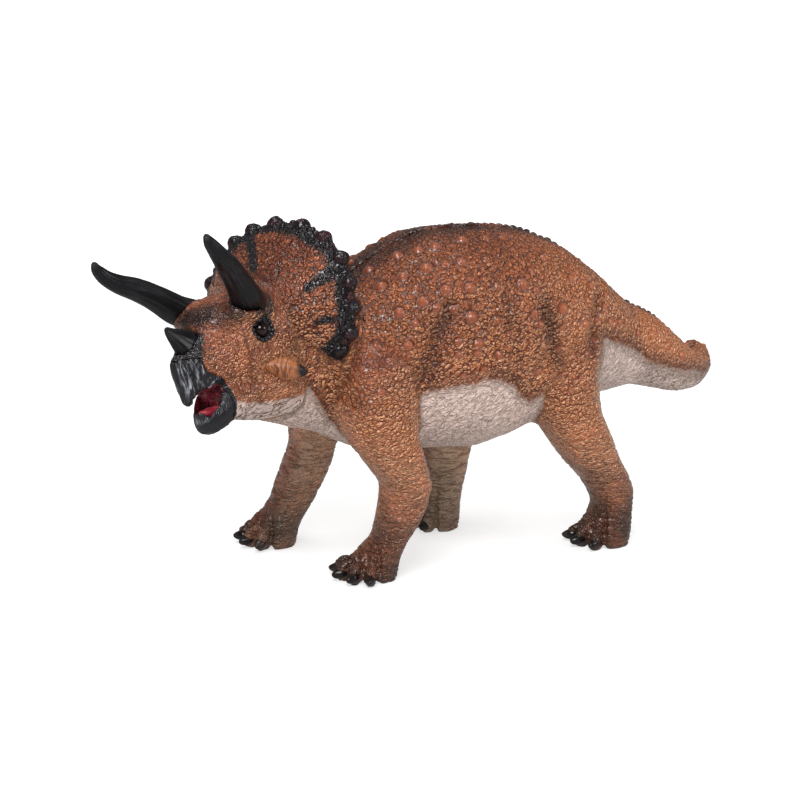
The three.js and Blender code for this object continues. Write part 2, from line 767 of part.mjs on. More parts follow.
// Brow bosses, eyes, mouth and beak
const browBossPlace = new THREE.Vector3(-0.8, 7.8, 6);
const browBossHalfSizes = new THREE.Vector3(7, 4.9, 4.6);
const eyePlace = new THREE.Vector3(-0.3, 9.7, -0.2);
const eyeRadius = 1.9;
const mouthCornerX = -13.2; // jaw seam
const mouthPlace = new THREE.Vector3(-15.4, 0, -12.6);
const mouthHalfSizes = new THREE.Vector3(5.2, 4.1, 4.9);
const mouthCornerHeight = -10.5;
const mouthRoofHeight = -9.9;
const jawRimFrontX = -19.5;
const jawRimFrontHeight = -16.7;
const beakHookPlace = new THREE.Vector3(-22.3, 0, -9.6);
const beakHookHalfSizes = new THREE.Vector3(1.7, 1.3, 2.6);
const jawTipPlace = new THREE.Vector3(-19.1, 0, -14.9);
const jawTipHalfSizes = new THREE.Vector3(1.3, 1.6, 2.7);
const jawPegRadius = 1;
const jawPegLength = 5;
const jawPegSpread = 2.8;
const jawPegHeight = -17.6;
const tonguePlace = new THREE.Vector3(-15.2, 0, -15.5);
const tongueHalfSizes = new THREE.Vector3(3.8, 2.2, 1.5);
const tonguePegRadius = 0.8;
const tonguePegDepth = 2.9; // tongue middle to peg end
const neckPegRadius = 6;
const neckPegStart = 1; // X of its end in the head
const neckPegEnd = 30;
const neckPegHeight = -4;

/** A box in the head's frame from its two corners. */
function boxBetween(low, high) {
  const size = new THREE.Vector3().subVectors(high, low);
  const geometry = new THREE.BoxGeometry(size.x, size.y, size.z);
  geometry.translate(low.x + size.x / 2, low.y + size.y / 2, low.z + size.z / 2);
  return solidFromGeometry(geometry);
}

/** Everything ahead of, or behind, an upright plane across the head. */
function headSlab(fromX, toX) {
  const reach = 3 * headDepth;
  return boxBetween(new THREE.Vector3(fromX, -reach, -reach), new THREE.Vector3(toX, reach, reach));
}

/** The open gape: the wedge between the upper beak and the lower jaw's rim. */
function gapeWedge() {
  const outline = new THREE.Shape();
  outline.moveTo(mouthCornerX + overrun, mouthCornerHeight);
  outline.lineTo(mouthCornerX + overrun, mouthRoofHeight);
  outline.lineTo(-snoutLength - overrun, mouthRoofHeight);
  outline.lineTo(-snoutLength - overrun, jawRimFrontHeight);
  outline.lineTo(jawRimFrontX, jawRimFrontHeight);
  outline.lineTo(mouthCornerX, mouthCornerHeight);
  const depth = 2 * headHalfWidth;
  const geometry = new THREE.ExtrudeGeometry(outline, { depth, bevelEnabled: false, steps: 1 });
  geometry.rotateX(Math.PI / 2);
  geometry.translate(0, headHalfWidth, 0);
  return solidFromGeometry(geometry);
}

function mirrored(place, side) {
  return new THREE.Vector3(place.x, side * place.y, place.z);
}

function jawPegs(grow = 0) {
  return [-1, 1].map((side) => {
    const y = side * jawPegSpread;
    const end = new THREE.Vector3(mouthCornerX + jawPegLength + grow, y, jawPegHeight);
    return peg(new THREE.Vector3(mouthCornerX - overrun, y, jawPegHeight), end, jawPegRadius + grow);
  });
}

function tonguePeg(grow = 0) {
  const end = tonguePlace.clone().setZ(tonguePlace.z - tonguePegDepth - grow);
  return peg(end, tonguePlace, tonguePegRadius + grow);
}

function neckPeg(grow = 0) {
  const start = new THREE.Vector3(neckPegStart - grow, 0, neckPegHeight);
  return peg(start, new THREE.Vector3(neckPegEnd, 0, neckPegHeight), neckPegRadius + grow);
}

/** The head's outer form without its inserts; grown it cuts the neck to fit. */
function headForm(grow = 0) {
  const lower = faceLoft(lowerFaceShares, cheekBackShares.lower, grow);
  return union([
    faceLoft(upperFaceShares, cheekBackShares.upper, grow),
    lower.intersect(headSlab(mouthCornerX + clearance / 2, frillPlace)),
    frillBody(grow),
  ]);
}

function makeHead() {
  const bosses = [-1, 1].map((side) => ellipsoid(browBossHalfSizes, mirrored(browBossPlace, side)));
  const hook = ellipsoid(beakHookHalfSizes, beakHookPlace, new THREE.Euler(), 10, 8);
  const whole = union([headForm(), ...bosses, hook, ...frillKnobs()]);
  const pockets = [-1, 1].flatMap((side) => [
    browHorn(side, clearance),
    cheekSpike(side, clearance),
    ellipsoid(new THREE.Vector3().setScalar(eyeRadius + clearance), mirrored(eyePlace, side)),
  ]);
  const mouth = ellipsoid(mouthHalfSizes, mouthPlace, new THREE.Euler(), 16, 12);
  pockets.push(noseHorn(clearance), mouth, ...jawPegs(clearance), neckPeg(clearance));
  return mainBody(cut(whole, pockets));
}

function makeLowerJaw() {
  const lower = faceLoft(lowerFaceShares, cheekBackShares.lower);
  const front = lower.intersect(headSlab(-2 * snoutLength, mouthCornerX - clearance / 2));
  const mouth = ellipsoid(mouthHalfSizes, mouthPlace, new THREE.Euler(), 16, 12);
  const trough = cut(front, [gapeWedge(), mouth]);
  const tip = ellipsoid(jawTipHalfSizes, jawTipPlace, new THREE.Euler(), 10, 8);
  return mainBody(cut(union([trough, tip, ...jawPegs()]), [mouth, tonguePeg(clearance)]));
}

function makeTongue() {
  return ellipsoid(tongueHalfSizes, tonguePlace, new THREE.Euler(), 14, 8).add(tonguePeg());
}

// Colours and finishes of the moulded, painted pieces
const finishes = {
  skin: { color: '#9c5a39', roughness: 0.5, metalness: 0 },
  horn: { color: '#24232a', roughness: 0.4, metalness: 0 },
  tongue: { color: '#b5404c', roughness: 0.4, metalness: 0 },
  eye: { color: '#0b0a0c', roughness: 0.08, metalness: 0 },
  spike: { color: '#b5762f', roughness: 0.5, metalness: 0 },
};

function pieceMesh(name, solid, finish) {
  const mesh = new THREE.Mesh(geometryFromSolid(solid), new THREE.MeshStandardMaterial(finishes[finish]));
  mesh.name = name;
  return mesh;
}

// Assembly
const figure = new THREE.Group();
const { tail, pocket: tailPocket } = makeTail();
const limbPockets = limbs.map((limb) => limbBody(limb, clearance));
const cheekSpikeForms = [-1, 1].map((side) => cheekSpike(side, clearance));
const headPocket = inFigureFrame(union([headForm(clearance), ...frillKnobs(clearance), ...cheekSpikeForms]));
const seatedTrunk = mainBody(cut(texturedTrunk(), [...limbPockets, tailPocket, headPocket]));
const trunkPeg = inFigureFrame(neckPeg());
figure.add(pieceMesh('torso', seatedTrunk.add(trunkPeg), 'skin'));
figure.add(pieceMesh('tail', tail, 'skin'));
for (const limb of limbs) {
  figure.add(pieceMesh(limb.name, makeLimb(limb), 'skin'));
}

headGroup.add(pieceMesh('head', makeHead(), 'skin'));
headGroup.add(pieceMesh('lower_jaw', makeLowerJaw(), 'horn'));
headGroup.add(pieceMesh('tongue', makeTongue(), 'tongue'));
headGroup.add(pieceMesh('nose_horn', noseHorn(), 'horn'));
for (const [label, side] of [['left', -1], ['right', 1]]) {
  headGroup.add(pieceMesh(`brow_horn_${label}`, browHorn(side), 'horn'));
  headGroup.add(pieceMesh(`cheek_spike_${label}`, cheekSpike(side), 'spike'));
  const eyeHalfSizes = new THREE.Vector3().setScalar(eyeRadius);
  const eye = ellipsoid(eyeHalfSizes, mirrored(eyePlace, side), new THREE.Euler(), 14, 10);
  headGroup.add(pieceMesh(`eye_${label}`, eye, 'eye'));
}
figure.add(headGroup);

// The origin goes to the middle of the footprint of the whole figure's box, on the ground
const part = new THREE.Group();
part.add(figure);
part.updateMatrixWorld(true);
const box = new THREE.Box3().setFromObject(figure, true);
figure.position.set(-(box.min.x + box.max.x) / 2, -(box.min.y + box.max.y) / 2, -box.min.z);
part.updateMatrixWorld(true);

export default part;
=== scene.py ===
import math

import bmesh
import bpy
import numpy as np
from mathutils import Matrix, Vector


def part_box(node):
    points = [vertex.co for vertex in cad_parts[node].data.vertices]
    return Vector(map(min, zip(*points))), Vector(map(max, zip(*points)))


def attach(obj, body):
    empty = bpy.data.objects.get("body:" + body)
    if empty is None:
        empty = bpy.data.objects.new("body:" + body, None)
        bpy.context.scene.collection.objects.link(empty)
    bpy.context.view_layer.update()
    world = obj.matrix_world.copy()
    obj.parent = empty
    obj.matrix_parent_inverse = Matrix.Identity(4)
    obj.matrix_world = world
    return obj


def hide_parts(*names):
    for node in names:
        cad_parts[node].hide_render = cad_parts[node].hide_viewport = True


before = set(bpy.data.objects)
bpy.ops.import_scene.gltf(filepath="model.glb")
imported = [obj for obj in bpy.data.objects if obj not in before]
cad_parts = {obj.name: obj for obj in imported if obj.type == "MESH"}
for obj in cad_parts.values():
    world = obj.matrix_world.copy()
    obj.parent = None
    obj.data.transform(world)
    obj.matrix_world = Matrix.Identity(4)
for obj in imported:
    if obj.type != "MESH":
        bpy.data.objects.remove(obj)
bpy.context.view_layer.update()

# The moulded skin: its form
# Trunk, legs, tail and head are solid mouldings of soft PVC, glued together and painted over, so no joint line shows.
# One skin is drawn over all these nodes, rounded where a leg leaves the trunk, and cut up again further down.
MM = 0.001
SKIN_NODES = ("torso", "tail", "head", "leg_front_left", "leg_front_right", "leg_hind_left", "leg_hind_right")
LEGS = SKIN_NODES[3:]
SKIN_SWELL = 0.16 * MM  # closes the clearances between the nodes
SKIN_GRID = 0.45 * MM
SMOOTHING = 0.6  # how far one round of smoothing moves a point towards its neighbours' mean
ROUNDS_GRID = 0.4 * MM  # the grid on which the rounds of smoothing are counted
TRUNK_ROUNDS, HEAD_ROUNDS, LEG_ROUNDS, FOOT_ROUNDS = 46.0, 9, 32, 10
LEG_JOINT_ROUNDS, NECK_ROUNDS, BORDER_ROUNDS = 90, 16, 12.0
HEAD_PLACE = Vector((-52, -10, 64.9)) * MM  # the eyes' middle, in the figure's own frame
HEAD_YAW = math.radians(31)
HEAD_PITCH = math.radians(2.9)
HEAD_ROLL = math.radians(16.7)
EYE_IN_HEAD = Vector((-0.3, 0, -0.2)) * MM

head_turn = (
    Matrix.Rotation(HEAD_YAW, 3, "Z") @ Matrix.Rotation(-HEAD_PITCH, 3, "Y") @ Matrix.Rotation(-HEAD_ROLL, 3, "X")
)
eye_corners = [corner for side in ("left", "right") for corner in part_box(f"eye_{side}")]
eye_middle = sum(eye_corners, Vector()) / len(eye_corners)
head_origin = eye_middle - head_turn @ EYE_IN_HEAD
figure_shift = np.array(head_origin - HEAD_PLACE)


def smooth_step(low, high, value):
    """0 below low, 1 above high, and a soft rise between them; low may be the higher one."""
    share = np.clip((value - low) / (high - low), 0, 1)
    return share * share * (3 - 2 * share)


def read(items, key, width=1, kind=np.float32):
    """A number, or a row of them, from each of a mesh's points, edges or face corners."""
    values = np.empty(len(items) * width, kind)
    items.foreach_get(key, values)
    values = values if width == 1 else values.reshape(-1, width)
    return values.astype(float) if kind == np.float32 else values


def new_object(name, mesh):
    made = bpy.data.objects.new(name, mesh)
    bpy.context.scene.collection.objects.link(made)
    return made


def mesh_of(name, places, faces):
    mesh = bpy.data.meshes.new(name)
    mesh.from_pydata([tuple(place) for place in places], [], [tuple(face) for face in faces])
    mesh.update()
    return mesh


def move_points(mesh, places):
    mesh.vertices.foreach_set("co", places.ravel())
    mesh.update()


def settle(obj):
    """Works an object's modifiers into its mesh and takes them off."""
    graph = bpy.context.evaluated_depsgraph_get()
    mesh = bpy.data.meshes.new_from_object(obj.evaluated_get(graph))
    obj.modifiers.clear()
    obj.data = mesh
    return mesh


def grown_skin(name, nodes, swell, spacing):
    """One closed skin on an even grid round CAD nodes, which are merged and grown along their normals first."""
    places, faces, count = [], [], 0
    for node in nodes:
        shape = bmesh.new()
        shape.from_mesh(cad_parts[node].data)
        bmesh.ops.remove_doubles(shape, verts=shape.verts, dist=1e-6)
        shape.normal_update()
        shape.verts.index_update()
        places += [corner.co + corner.normal * swell for corner in shape.verts]
        faces += [[corner.index + count for corner in face.verts] for face in shape.faces]
        count = len(places)
        shape.free()
    made = new_object(name, mesh_of(name, places, faces))
    remesh = made.modifiers.new("remesh", "REMESH")
    remesh.mode = "VOXEL"
    remesh.voxel_size = spacing
    settle(made)
    return made


def smoothed(places, edges, rounds):
    """Moves each point towards its neighbours' mean, as many times as its own number of rounds says."""
    count = len(places)
    first, second = edges[:, 0], edges[:, 1]
    degree = np.bincount(first, minlength=count) + np.bincount(second, minlength=count)
    places = places.copy()
    for turn in range(int(np.ceil(rounds.max()))):
        pull = np.clip(rounds - turn, 0, 1) * SMOOTHING
        for axis in range(places.shape[1]):
            column = places[:, axis]
            total = np.bincount(first, column[second], count) + np.bincount(second, column[first], count)
            places[:, axis] = column + pull * (total / degree - column)
    return places


class Output:
    """A node's output. A sum or product with it adds a Math node, and | between two gives the larger."""

    def __init__(self, socket):
        self.socket, self.tree = socket, socket.id_data

    def also(self, name):
        """Another output of the same node."""
        return Output(self.socket.node.outputs[name])

    def __add__(self, other):
        return add_node(self.tree, "Math", self, other, operation="ADD")

    def __sub__(self, other):
        return add_node(self.tree, "Math", self, other, operation="SUBTRACT")

    def __rsub__(self, other):
        return add_node(self.tree, "Math", other, self, operation="SUBTRACT")

    def __mul__(self, other):
        return add_node(self.tree, "Math", self, other, operation="MULTIPLY")

    def __truediv__(self, other):
        return add_node(self.tree, "Math", self, other, operation="DIVIDE")

    def __rtruediv__(self, other):
        return add_node(self.tree, "Math", other, self, operation="DIVIDE")

    def __or__(self, other):
        return add_node(self.tree, "Math", self, other, operation="MAXIMUM")

    def __abs__(self):
        return add_node(self.tree, "Math", self, operation="ABSOLUTE")


def colour(code):
    """A linear colour from an sRGB hex value."""
    parts = [int(code[at:at + 2], 16) / 255 for at in (1, 3, 5)]
    return tuple(part / 12.92 if part <= 0.04045 else ((part + 0.055) / 1.055) ** 2.4 for part in parts) + (1,)


def add_node(tree, kind, *values, out=0, **given):
    """Adds a node and gives one output. Values fill its inputs in turn, and words name a setting or an input."""
    node = tree.nodes.new(kind if "Node" in kind else "ShaderNode" + kind)
    for key in [key for key in given if hasattr(node, key)]:
        setattr(node, key, given.pop(key))
    sockets = list(zip([socket for socket in node.inputs if socket.enabled], values))
    sockets += [(node.inputs[key.replace("_", " ")], value) for key, value in given.items()]
    for socket, value in sockets:
        for each in value if isinstance(value, list) else [value]:
            if isinstance(each, Output):
                tree.links.new(each.socket, socket)
            else:
                socket.default_value = colour(each) if str(each)[:1] == "#" else each
    outputs = [socket for socket in node.outputs if socket.enabled]
    if outputs:
        return Output(node.outputs[out] if isinstance(out, str) else outputs[out])


def new_tree(name, **kinds):
    """A geometry tree with an input for each word, and those inputs by name."""
    tree = bpy.data.node_groups.new(name, "GeometryNodeTree")
    for label, kind in {"Geometry": "Geometry", **kinds}.items():
        tree.interface.new_socket(label.replace("_", " "), in_out="INPUT", socket_type="NodeSocket" + kind)
    tree.interface.new_socket("Geometry", in_out="OUTPUT", socket_type="NodeSocketGeometry")
    return tree, {socket.name: Output(socket) for socket in tree.nodes.new("NodeGroupInput").outputs}


def end_tree(tree, geometry, material=None):
    """Ends a tree in plain faces of one material."""
    real = add_node(tree, "GeometryNodeRealizeInstances", geometry)
    add_node(tree, "NodeGroupOutput", add_node(tree, "GeometryNodeSetMaterial", real, Material=material))


def apply_tree(obj, tree, **values):
    """Runs a geometry tree on an object with its named inputs set, and keeps the result as a plain mesh."""
    modifier = obj.modifiers.new(tree.name, "NODES")
    modifier.node_group = tree
    for item in tree.interface.items_tree:
        key = item.name.replace(" ", "_")
        if item.in_out == "INPUT" and key in values:
            modifier[item.identifier] = values[key]
    return settle(obj)


# How far each skin point is from each node's surface, which says what it belongs to
nearness, given = new_tree("nearness")
flow = given["Geometry"]
for name in SKIN_NODES:
    node_form = add_node(nearness, "GeometryNodeObjectInfo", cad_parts[name], out="Geometry")
    gap = add_node(nearness, "GeometryNodeProximity", node_form, out="Distance", target_element="FACES")
    flow = add_node(nearness, "GeometryNodeStoreNamedAttribute", flow, Name="near_" + name, Value=gap)
end_tree(nearness, flow)

skin = grown_skin("skin", SKIN_NODES, SKIN_SWELL, SKIN_GRID)
skin_mesh = apply_tree(skin, nearness)
near = {name: read(skin_mesh.attributes["near_" + name].data, "value") / MM for name in SKIN_NODES}
skin_edges = read(skin_mesh.edges, "vertices", 2, np.int32)
skin_places = read(skin_mesh.vertices, "co", 3)


def in_figure(places):
    """Places in the figure's own frame, in millimetres."""
    return (places - figure_shift) / MM


def in_head(places):
    """Places in the head's frame, in millimetres: the face looks along -X, its left side faces -Y."""
    return (places - np.array(head_origin)) @ np.array(head_turn) / MM


near_legs = np.min([near[name] for name in LEGS], axis=0)
is_head = np.argmin([near[name] for name in SKIN_NODES], axis=0) == SKIN_NODES.index("head")
height = skin_places[:, 2] / MM
leg_joint = smooth_step(8, 1, near["torso"] + near_legs) * smooth_step(14, 22, height)
head_joint = smooth_step(2.5, 0.5, near["torso"] + near["head"])
leg_rounds = FOOT_ROUNDS + (LEG_ROUNDS - FOOT_ROUNDS) * smooth_step(8, 16, height)
rounds = np.where(near_legs < 1, leg_rounds, np.where(is_head, HEAD_ROUNDS, TRUNK_ROUNDS))
rounds = np.max([rounds, LEG_JOINT_ROUNDS * leg_joint, NECK_ROUNDS * head_joint], axis=0)
rounds = rounds * (ROUNDS_GRID / SKIN_GRID) ** 2
rounds = smoothed(rounds[:, None], skin_edges, np.full(len(rounds), BORDER_ROUNDS))[:, 0]
skin_places = smoothed(skin_places, skin_edges, rounds)
move_points(skin_mesh, skin_places)
skin_normals = read(skin_mesh.vertices, "normal", 3)

# The moulded skin: folds, toes and the shares of each surface
# The mould was sculpted with vertical folds on neck and flank, a furrow behind shoulder and thigh, and cleft toes.
SHOULDER_FURROW = [(4.3, 21.4, 72.2), (1.8, 22.3, 68.6), (-1.8, 23.3, 62.6), (-4, 23.7, 58.1), (-7.1, 22.9, 48.7)]
THIGH_FURROW = [(27.2, 22.4, 71), (28.3, 23.9, 64), (30.3, 25.1, 54.7), (25.5, 25.6, 49.5), (20.8, 25, 45)]
TAIL_FURROW = [(49.4, 15.7, 67.4), (46.4, 19.6, 63.1), (44.4, 21.5, 58.4), (42.5, 24.2, 54), (41.3, 25.8, 48.1)]
FLANK_FOLDS = [
    [(13.5, 20.8, 74), (12.5, 25.1, 62.2), (12.8, 26, 51.5)],
    [(16.8, 21.3, 73.5), (15.6, 25.3, 62.5), (15.9, 26, 51.2)],
    [(20.1, 21.3, 73), (18.8, 25, 62), (18.4, 25.6, 50.5)],
    [(23, 21.8, 71), (21.9, 24.8, 62), (21.6, 25.2, 51.5)],
]
NECK_FOLDS = [
    [(-18.5, 13, 72), (-20.5, 17.5, 63), (-24.5, 18, 53), (-27.5, 15, 45)],
    [(-22, 13.5, 68), (-24.5, 16.5, 60), (-28, 16.5, 52), (-30.5, 14, 45)],
    [(-25.5, 14, 65), (-28.5, 15.5, 58), (-32, 15, 51), (-34, 12.5, 46)],
]
FOLDS = [(SHOULDER_FURROW, 2.2, 0.5), (THIGH_FURROW, 2.2, 0.45), (TAIL_FURROW, 1.5, 0.7)]  # line, width and depth
FOLDS += [(line, 0.8, 0.4) for line in FLANK_FOLDS] + [(line, 1.0, 0.6) for line in NECK_FOLDS]
SPIKE_BASE = [(-2.6, 9, -8), (0.8, 11.3, -10.3)]  # the cheek swells where its spike stands
BROW_HORN_ROOT = np.array([0.8, 8.4, 6.4])  # in the head's frame, as all places on the head; the right one
FRILL_LEAN = math.radians(13.8)
FRILL_MIDDLE = 2.5  # the height of the frill's widest place, and its reach aside, up and down from there
FRILL_ASIDE, FRILL_UP, FRILL_DOWN = 22.8, 19.8, 16.5
FRILL_FULLNESS = 0.14  # the frill's lower corners are this much fuller than an ellipse
FRILL_FRONT = (0.3, 0.5, 0.7, 0.86, 0.95, 1.2), (4.1, 10.6, 15.2, 18.8, 20.7, 24)  # its front face by its reach
FEET = {  # middle of the sole, its half length and half width, and where the toes lie from straight ahead
    "leg_front_left": (-16.84, -15.6, 5.74, 6.5, (-38, -4, 28, 60)),
    "leg_front_right": (-26.28, 22.4, 5.2, 6.5, (-38, -4, 28, 60)),
    "leg_hind_left": (50.84, -17.8, 5.74, 6.7, (-30, 4, 38)),
    "leg_hind_right": (19.43, 16.0, 4.45, 6.7, (-30, 4, 38)),
}
CLEFT_DEPTH, CLEFT_WIDTH = 1.3, 6  # in millimetres and degrees, as the toes' swelling
TOE_SWELL, TOE_WIDTH = 0.4, 8
OUTER_CLEFT = 20  # from the first and the last toe's middle


def bell(value):
    return np.exp(-(value**2))


def both_sides(places):
    """Places with the left side laid over the right, so that across is never negative."""
    return np.where([False, True, False], np.abs(places), places)


def gap_to_line(places, line):
    """Each place's distance to a line through points, and how far along the line it lies, from 0 to 1."""
    line = np.array(line, float)
    steps = np.linalg.norm(np.diff(line, axis=0), axis=1)
    passed = np.concatenate([[0], np.cumsum(steps)])
    best = np.full(len(places), np.inf)
    along = np.zeros(len(places))
    for start, end, step, before in zip(line[:-1], line[1:], steps, passed[:-1]):
        share = np.clip((places - start) @ (end - start) / step**2, 0, 1)
        gap = np.linalg.norm(places - start - share[:, None] * (end - start), axis=1)
        closer = gap < best
        best[closer] = gap[closer]
        along[closer] = (before + share * step)[closer] / passed[-1]
    return best, along


def furrow(places, line, width, depth):
    """A groove along a line, with a soft lip on each side, running out at its ends."""
    gap, along = gap_to_line(places, line)
    fade = smooth_step(0, 0.18, along) * smooth_step(1, 0.82, along)
    return depth * fade * (0.5 * bell(gap / width - 2) - bell(gap / width))


def mask_between(names):
    """1 on the named nodes' skin and 0 elsewhere, with a border about 3 mm wide."""
    inside = np.min([near[name] for name in names], axis=0)
    outside = np.min([near[name] for name in SKIN_NODES if name not in names], axis=0)
    return smooth_step(-1.5, 1.5, outside - inside)


figure_places = in_figure(skin_places)
head_places = in_head(skin_places)
head_normals = skin_normals @ np.array(head_turn)
near_side = both_sides(figure_places)
near_head = both_sides(head_places)
head_share, leg_share, tail_share = mask_between(["head"]), mask_between(LEGS), mask_between(["tail"])
body_share = (1 - head_share) * (1 - leg_share)

head_x, head_y, head_z = head_places.T
frill_up = (head_z - FRILL_MIDDLE) / np.where(head_z > FRILL_MIDDLE, FRILL_UP, FRILL_DOWN)
frill_turn = np.arctan2(head_y / FRILL_ASIDE, frill_up)
frill_fuller = np.where(frill_up > 0, 1, 1 + FRILL_FULLNESS * np.sin(2 * frill_turn) ** 2)
frill_reach = np.hypot(head_y / FRILL_ASIDE, frill_up) / frill_fuller
frill_front_x = np.interp(frill_reach, *FRILL_FRONT) + math.tan(FRILL_LEAN) * (head_z - FRILL_MIDDLE)
frill_share = head_share * smooth_step(0.44, 0.56, frill_reach) * smooth_step(-4, -1.5, head_x - frill_front_x)
face_share = head_share * (1 - frill_share)

swell = sum(furrow(near_side, *fold) for fold in FOLDS) * (1 - head_share)
horn_gap = np.linalg.norm(near_head - BROW_HORN_ROOT, axis=1)
swell += 0.5 * face_share * bell((horn_gap - 5.4) / 0.8)
swell += 1.3 * face_share * smooth_step(5.2, 2.4, gap_to_line(near_head, SPIKE_BASE)[0])
for name, (foot_x, foot_y, half_length, half_width, toe_angles) in FEET.items():
    across = math.copysign(1, foot_y) * (figure_places[:, 1] - foot_y) / half_width
    ahead = (foot_x - figure_places[:, 0]) / half_length
    turn = np.degrees(np.arctan2(across, ahead))
    on_foot = (near[name] < 1) * smooth_step(15, 6, height) * smooth_step(0.4, 0.8, np.hypot(across, ahead))
    clefts = [(first + second) / 2 for first, second in zip(toe_angles[:-1], toe_angles[1:])]
    for cleft in clefts + [toe_angles[0] - OUTER_CLEFT, toe_angles[-1] + OUTER_CLEFT]:
        swell -= CLEFT_DEPTH * on_foot * bell((turn - cleft) / CLEFT_WIDTH)
    for toe_angle in toe_angles:
        swell += TOE_SWELL * on_foot * bell((turn - toe_angle) / TOE_WIDTH)

skin_places += skin_normals * swell[:, None] * MM
skin_places[:, 2] = np.maximum(skin_places[:, 2], 0)
skin_mesh.vertices.foreach_set("co", skin_places.ravel())

# The moulded skin: scales, tubercles and wrinkles
# Pebbly scales about 1 mm wide cover it, with scattered round tubercles 2 to 3.5 mm wide that each have a ring
# round them. Legs, face and throat have fine wrinkles instead. One geometry tree raises them all out of the skin.
SCALE_SPACING = 1.05
WIDE_SCALES = 0.47  # some scales are wider: how densely they lie beside the others, and the share left out
WIDE_LEFT_OUT = 0.62
SCALE_HEIGHT = 0.22
WRINKLE_SPACING, WRINKLE_DEPTH = 2.0, 0.28
TUBERCLE_SPACING = 4.3
TUBERCLE_RADIUS = 1.25
TUBERCLE_RANGE = (0.45, 1.15)  # the radii of the scattered ones, as shares of that radius
TUBERCLE_RISE = 0.46  # of its radius
MOST_TUBERCLES = 60000.0  # in a square metre, before the spacing thins them out
BIG_TUBERCLES = np.array([  # on the left side, with their radius last
    (-11.5, -5.1, 76.3, 1.5), (-11.7, -12.0, 73.3, 1.7), (-6.4, -13.6, 75.6, 1.5), (-0.7, -15.0, 77.3, 1.9),
    (4.0, -16.3, 78.4, 1.2), (8.4, -16.9, 78.6, 1.5), (15.1, -17.4, 78.6, 1.2), (-4.2, -19.9, 70.2, 1.6),
    (2.0, -20.4, 72.7, 1.5), (8.2, -21.5, 72.8, 1.6), (15.6, -22.1, 72.5, 1.2), (22.9, -21.8, 72.3, 1.9),
    (-10.0, -18.3, 67.7, 1.5), (-6.9, -20.9, 65.2, 1.2), (-1.1, -21.4, 68.7, 1.4), (7.0, -24.2, 65.9, 1.9),
    (14.0, -25.0, 64.6, 1.4), (24.6, -24.7, 65.0, 1.7), (34.1, -22.9, 65.2, 1.9), (3.0, -24.8, 60.3, 1.2),
    (8.3, -25.6, 59.4, 1.6), (2.9, -25.1, 57.1, 1.1), (7.9, -25.7, 57.0, 1.1), (-4.6, -7.1, 79.6, 1.6),
    (0.2, -9.2, 80.8, 1.6), (4.1, -10.9, 81.8, 1.7), (12.1, -10.4, 82.5, 1.8), (18.3, -10.7, 82.3, 1.7),
    (23.6, -10.6, 81.8, 1.6),
])
MIRRORED_TUBERCLES = 23  # so many of them have a twin on the right side
ROUND_TUBERCLE = {  # where a level starts and ends, in radii from the middle, and what it is there
    "bump": (0.15, 1.0, 1.0, 0.0), "hollow_start": (0.7, 1.0, 0.0, 0.14), "hollow_end": (1.0, 1.3, 1.0, 0.0),
    "ring_start": (1.0, 1.25, 0.0, 0.22), "ring_end": (1.25, 1.6, 1.0, 0.0), "clear": (0.9, 1.5, 0.15, 1.0),
    "moat_start": (0.75, 1.0, 0.0, 1.0), "moat_end": (1.1, 1.45, 1.0, 0.0), "dome": (0.95, 1.35, 1.0, 0.0),
    "top": (0.4, 0.75, 1.0, 0.0),
}
HIGHLIGHT_WAY = (-0.35, -0.25, 0.9)  # towards the side that gets the painted highlight: up, ahead and to the left, where the light comes from
BEAK_EDGE = np.array([  # height and place along the snout of the horny beak's rear edge
    (-17.5, -12.2), (-12.7, -11.9), (-10.3, -11.2), (-8.8, -12.4), (-6.5, -15.8), (-5.0, -17.7), (-2.9, -18.4),
    (-1.3, -18.8), (0.4, -30),
]).T
BELLY_LINE = np.array([  # place along the body and height of the cream belly's upper edge
    (-70, 50), (-41, 52.7), (-34, 51.7), (-30.3, 46.9), (-26.3, 41.1), (-20, 37), (-14, 38), (-9.9, 43.7),
    (-5.9, 47.8), (-3.2, 48.7), (6.4, 49.5), (10, 50.4), (14.8, 50), (17.9, 48), (20.5, 45.2), (24, 43), (38, 44),
    (47.2, 56.1), (54.7, 53.4), (62.2, 49.6), (67.1, 46.7), (72.8, 43.9), (79.3, 41.7), (86.2, 39.5), (95, 37),
]).T
THROAT_LINE = (-13, -8.5, -4, 1.8, 11.5, 16), (-14, -16, -17.1, -17.9, -19.1, -21.2)
LINES_ROUND = [(-20.0, -9.0), (-1.0, -7.5)]  # the beak's and the cheek spike's middle: lines run round both

behind_beak = head_x - np.interp(head_z, *BEAK_EDGE)
above_belly = figure_places[:, 2] - np.interp(figure_places[:, 0], *BELLY_LINE)
above_throat = head_z - np.interp(head_x, *THROAT_LINE)
cream = body_share * smooth_step(2.8, -2.8, above_belly)
cream = np.maximum(cream, face_share * smooth_step(1.2, -1.6, above_throat) * smooth_step(-15, -11, head_x))

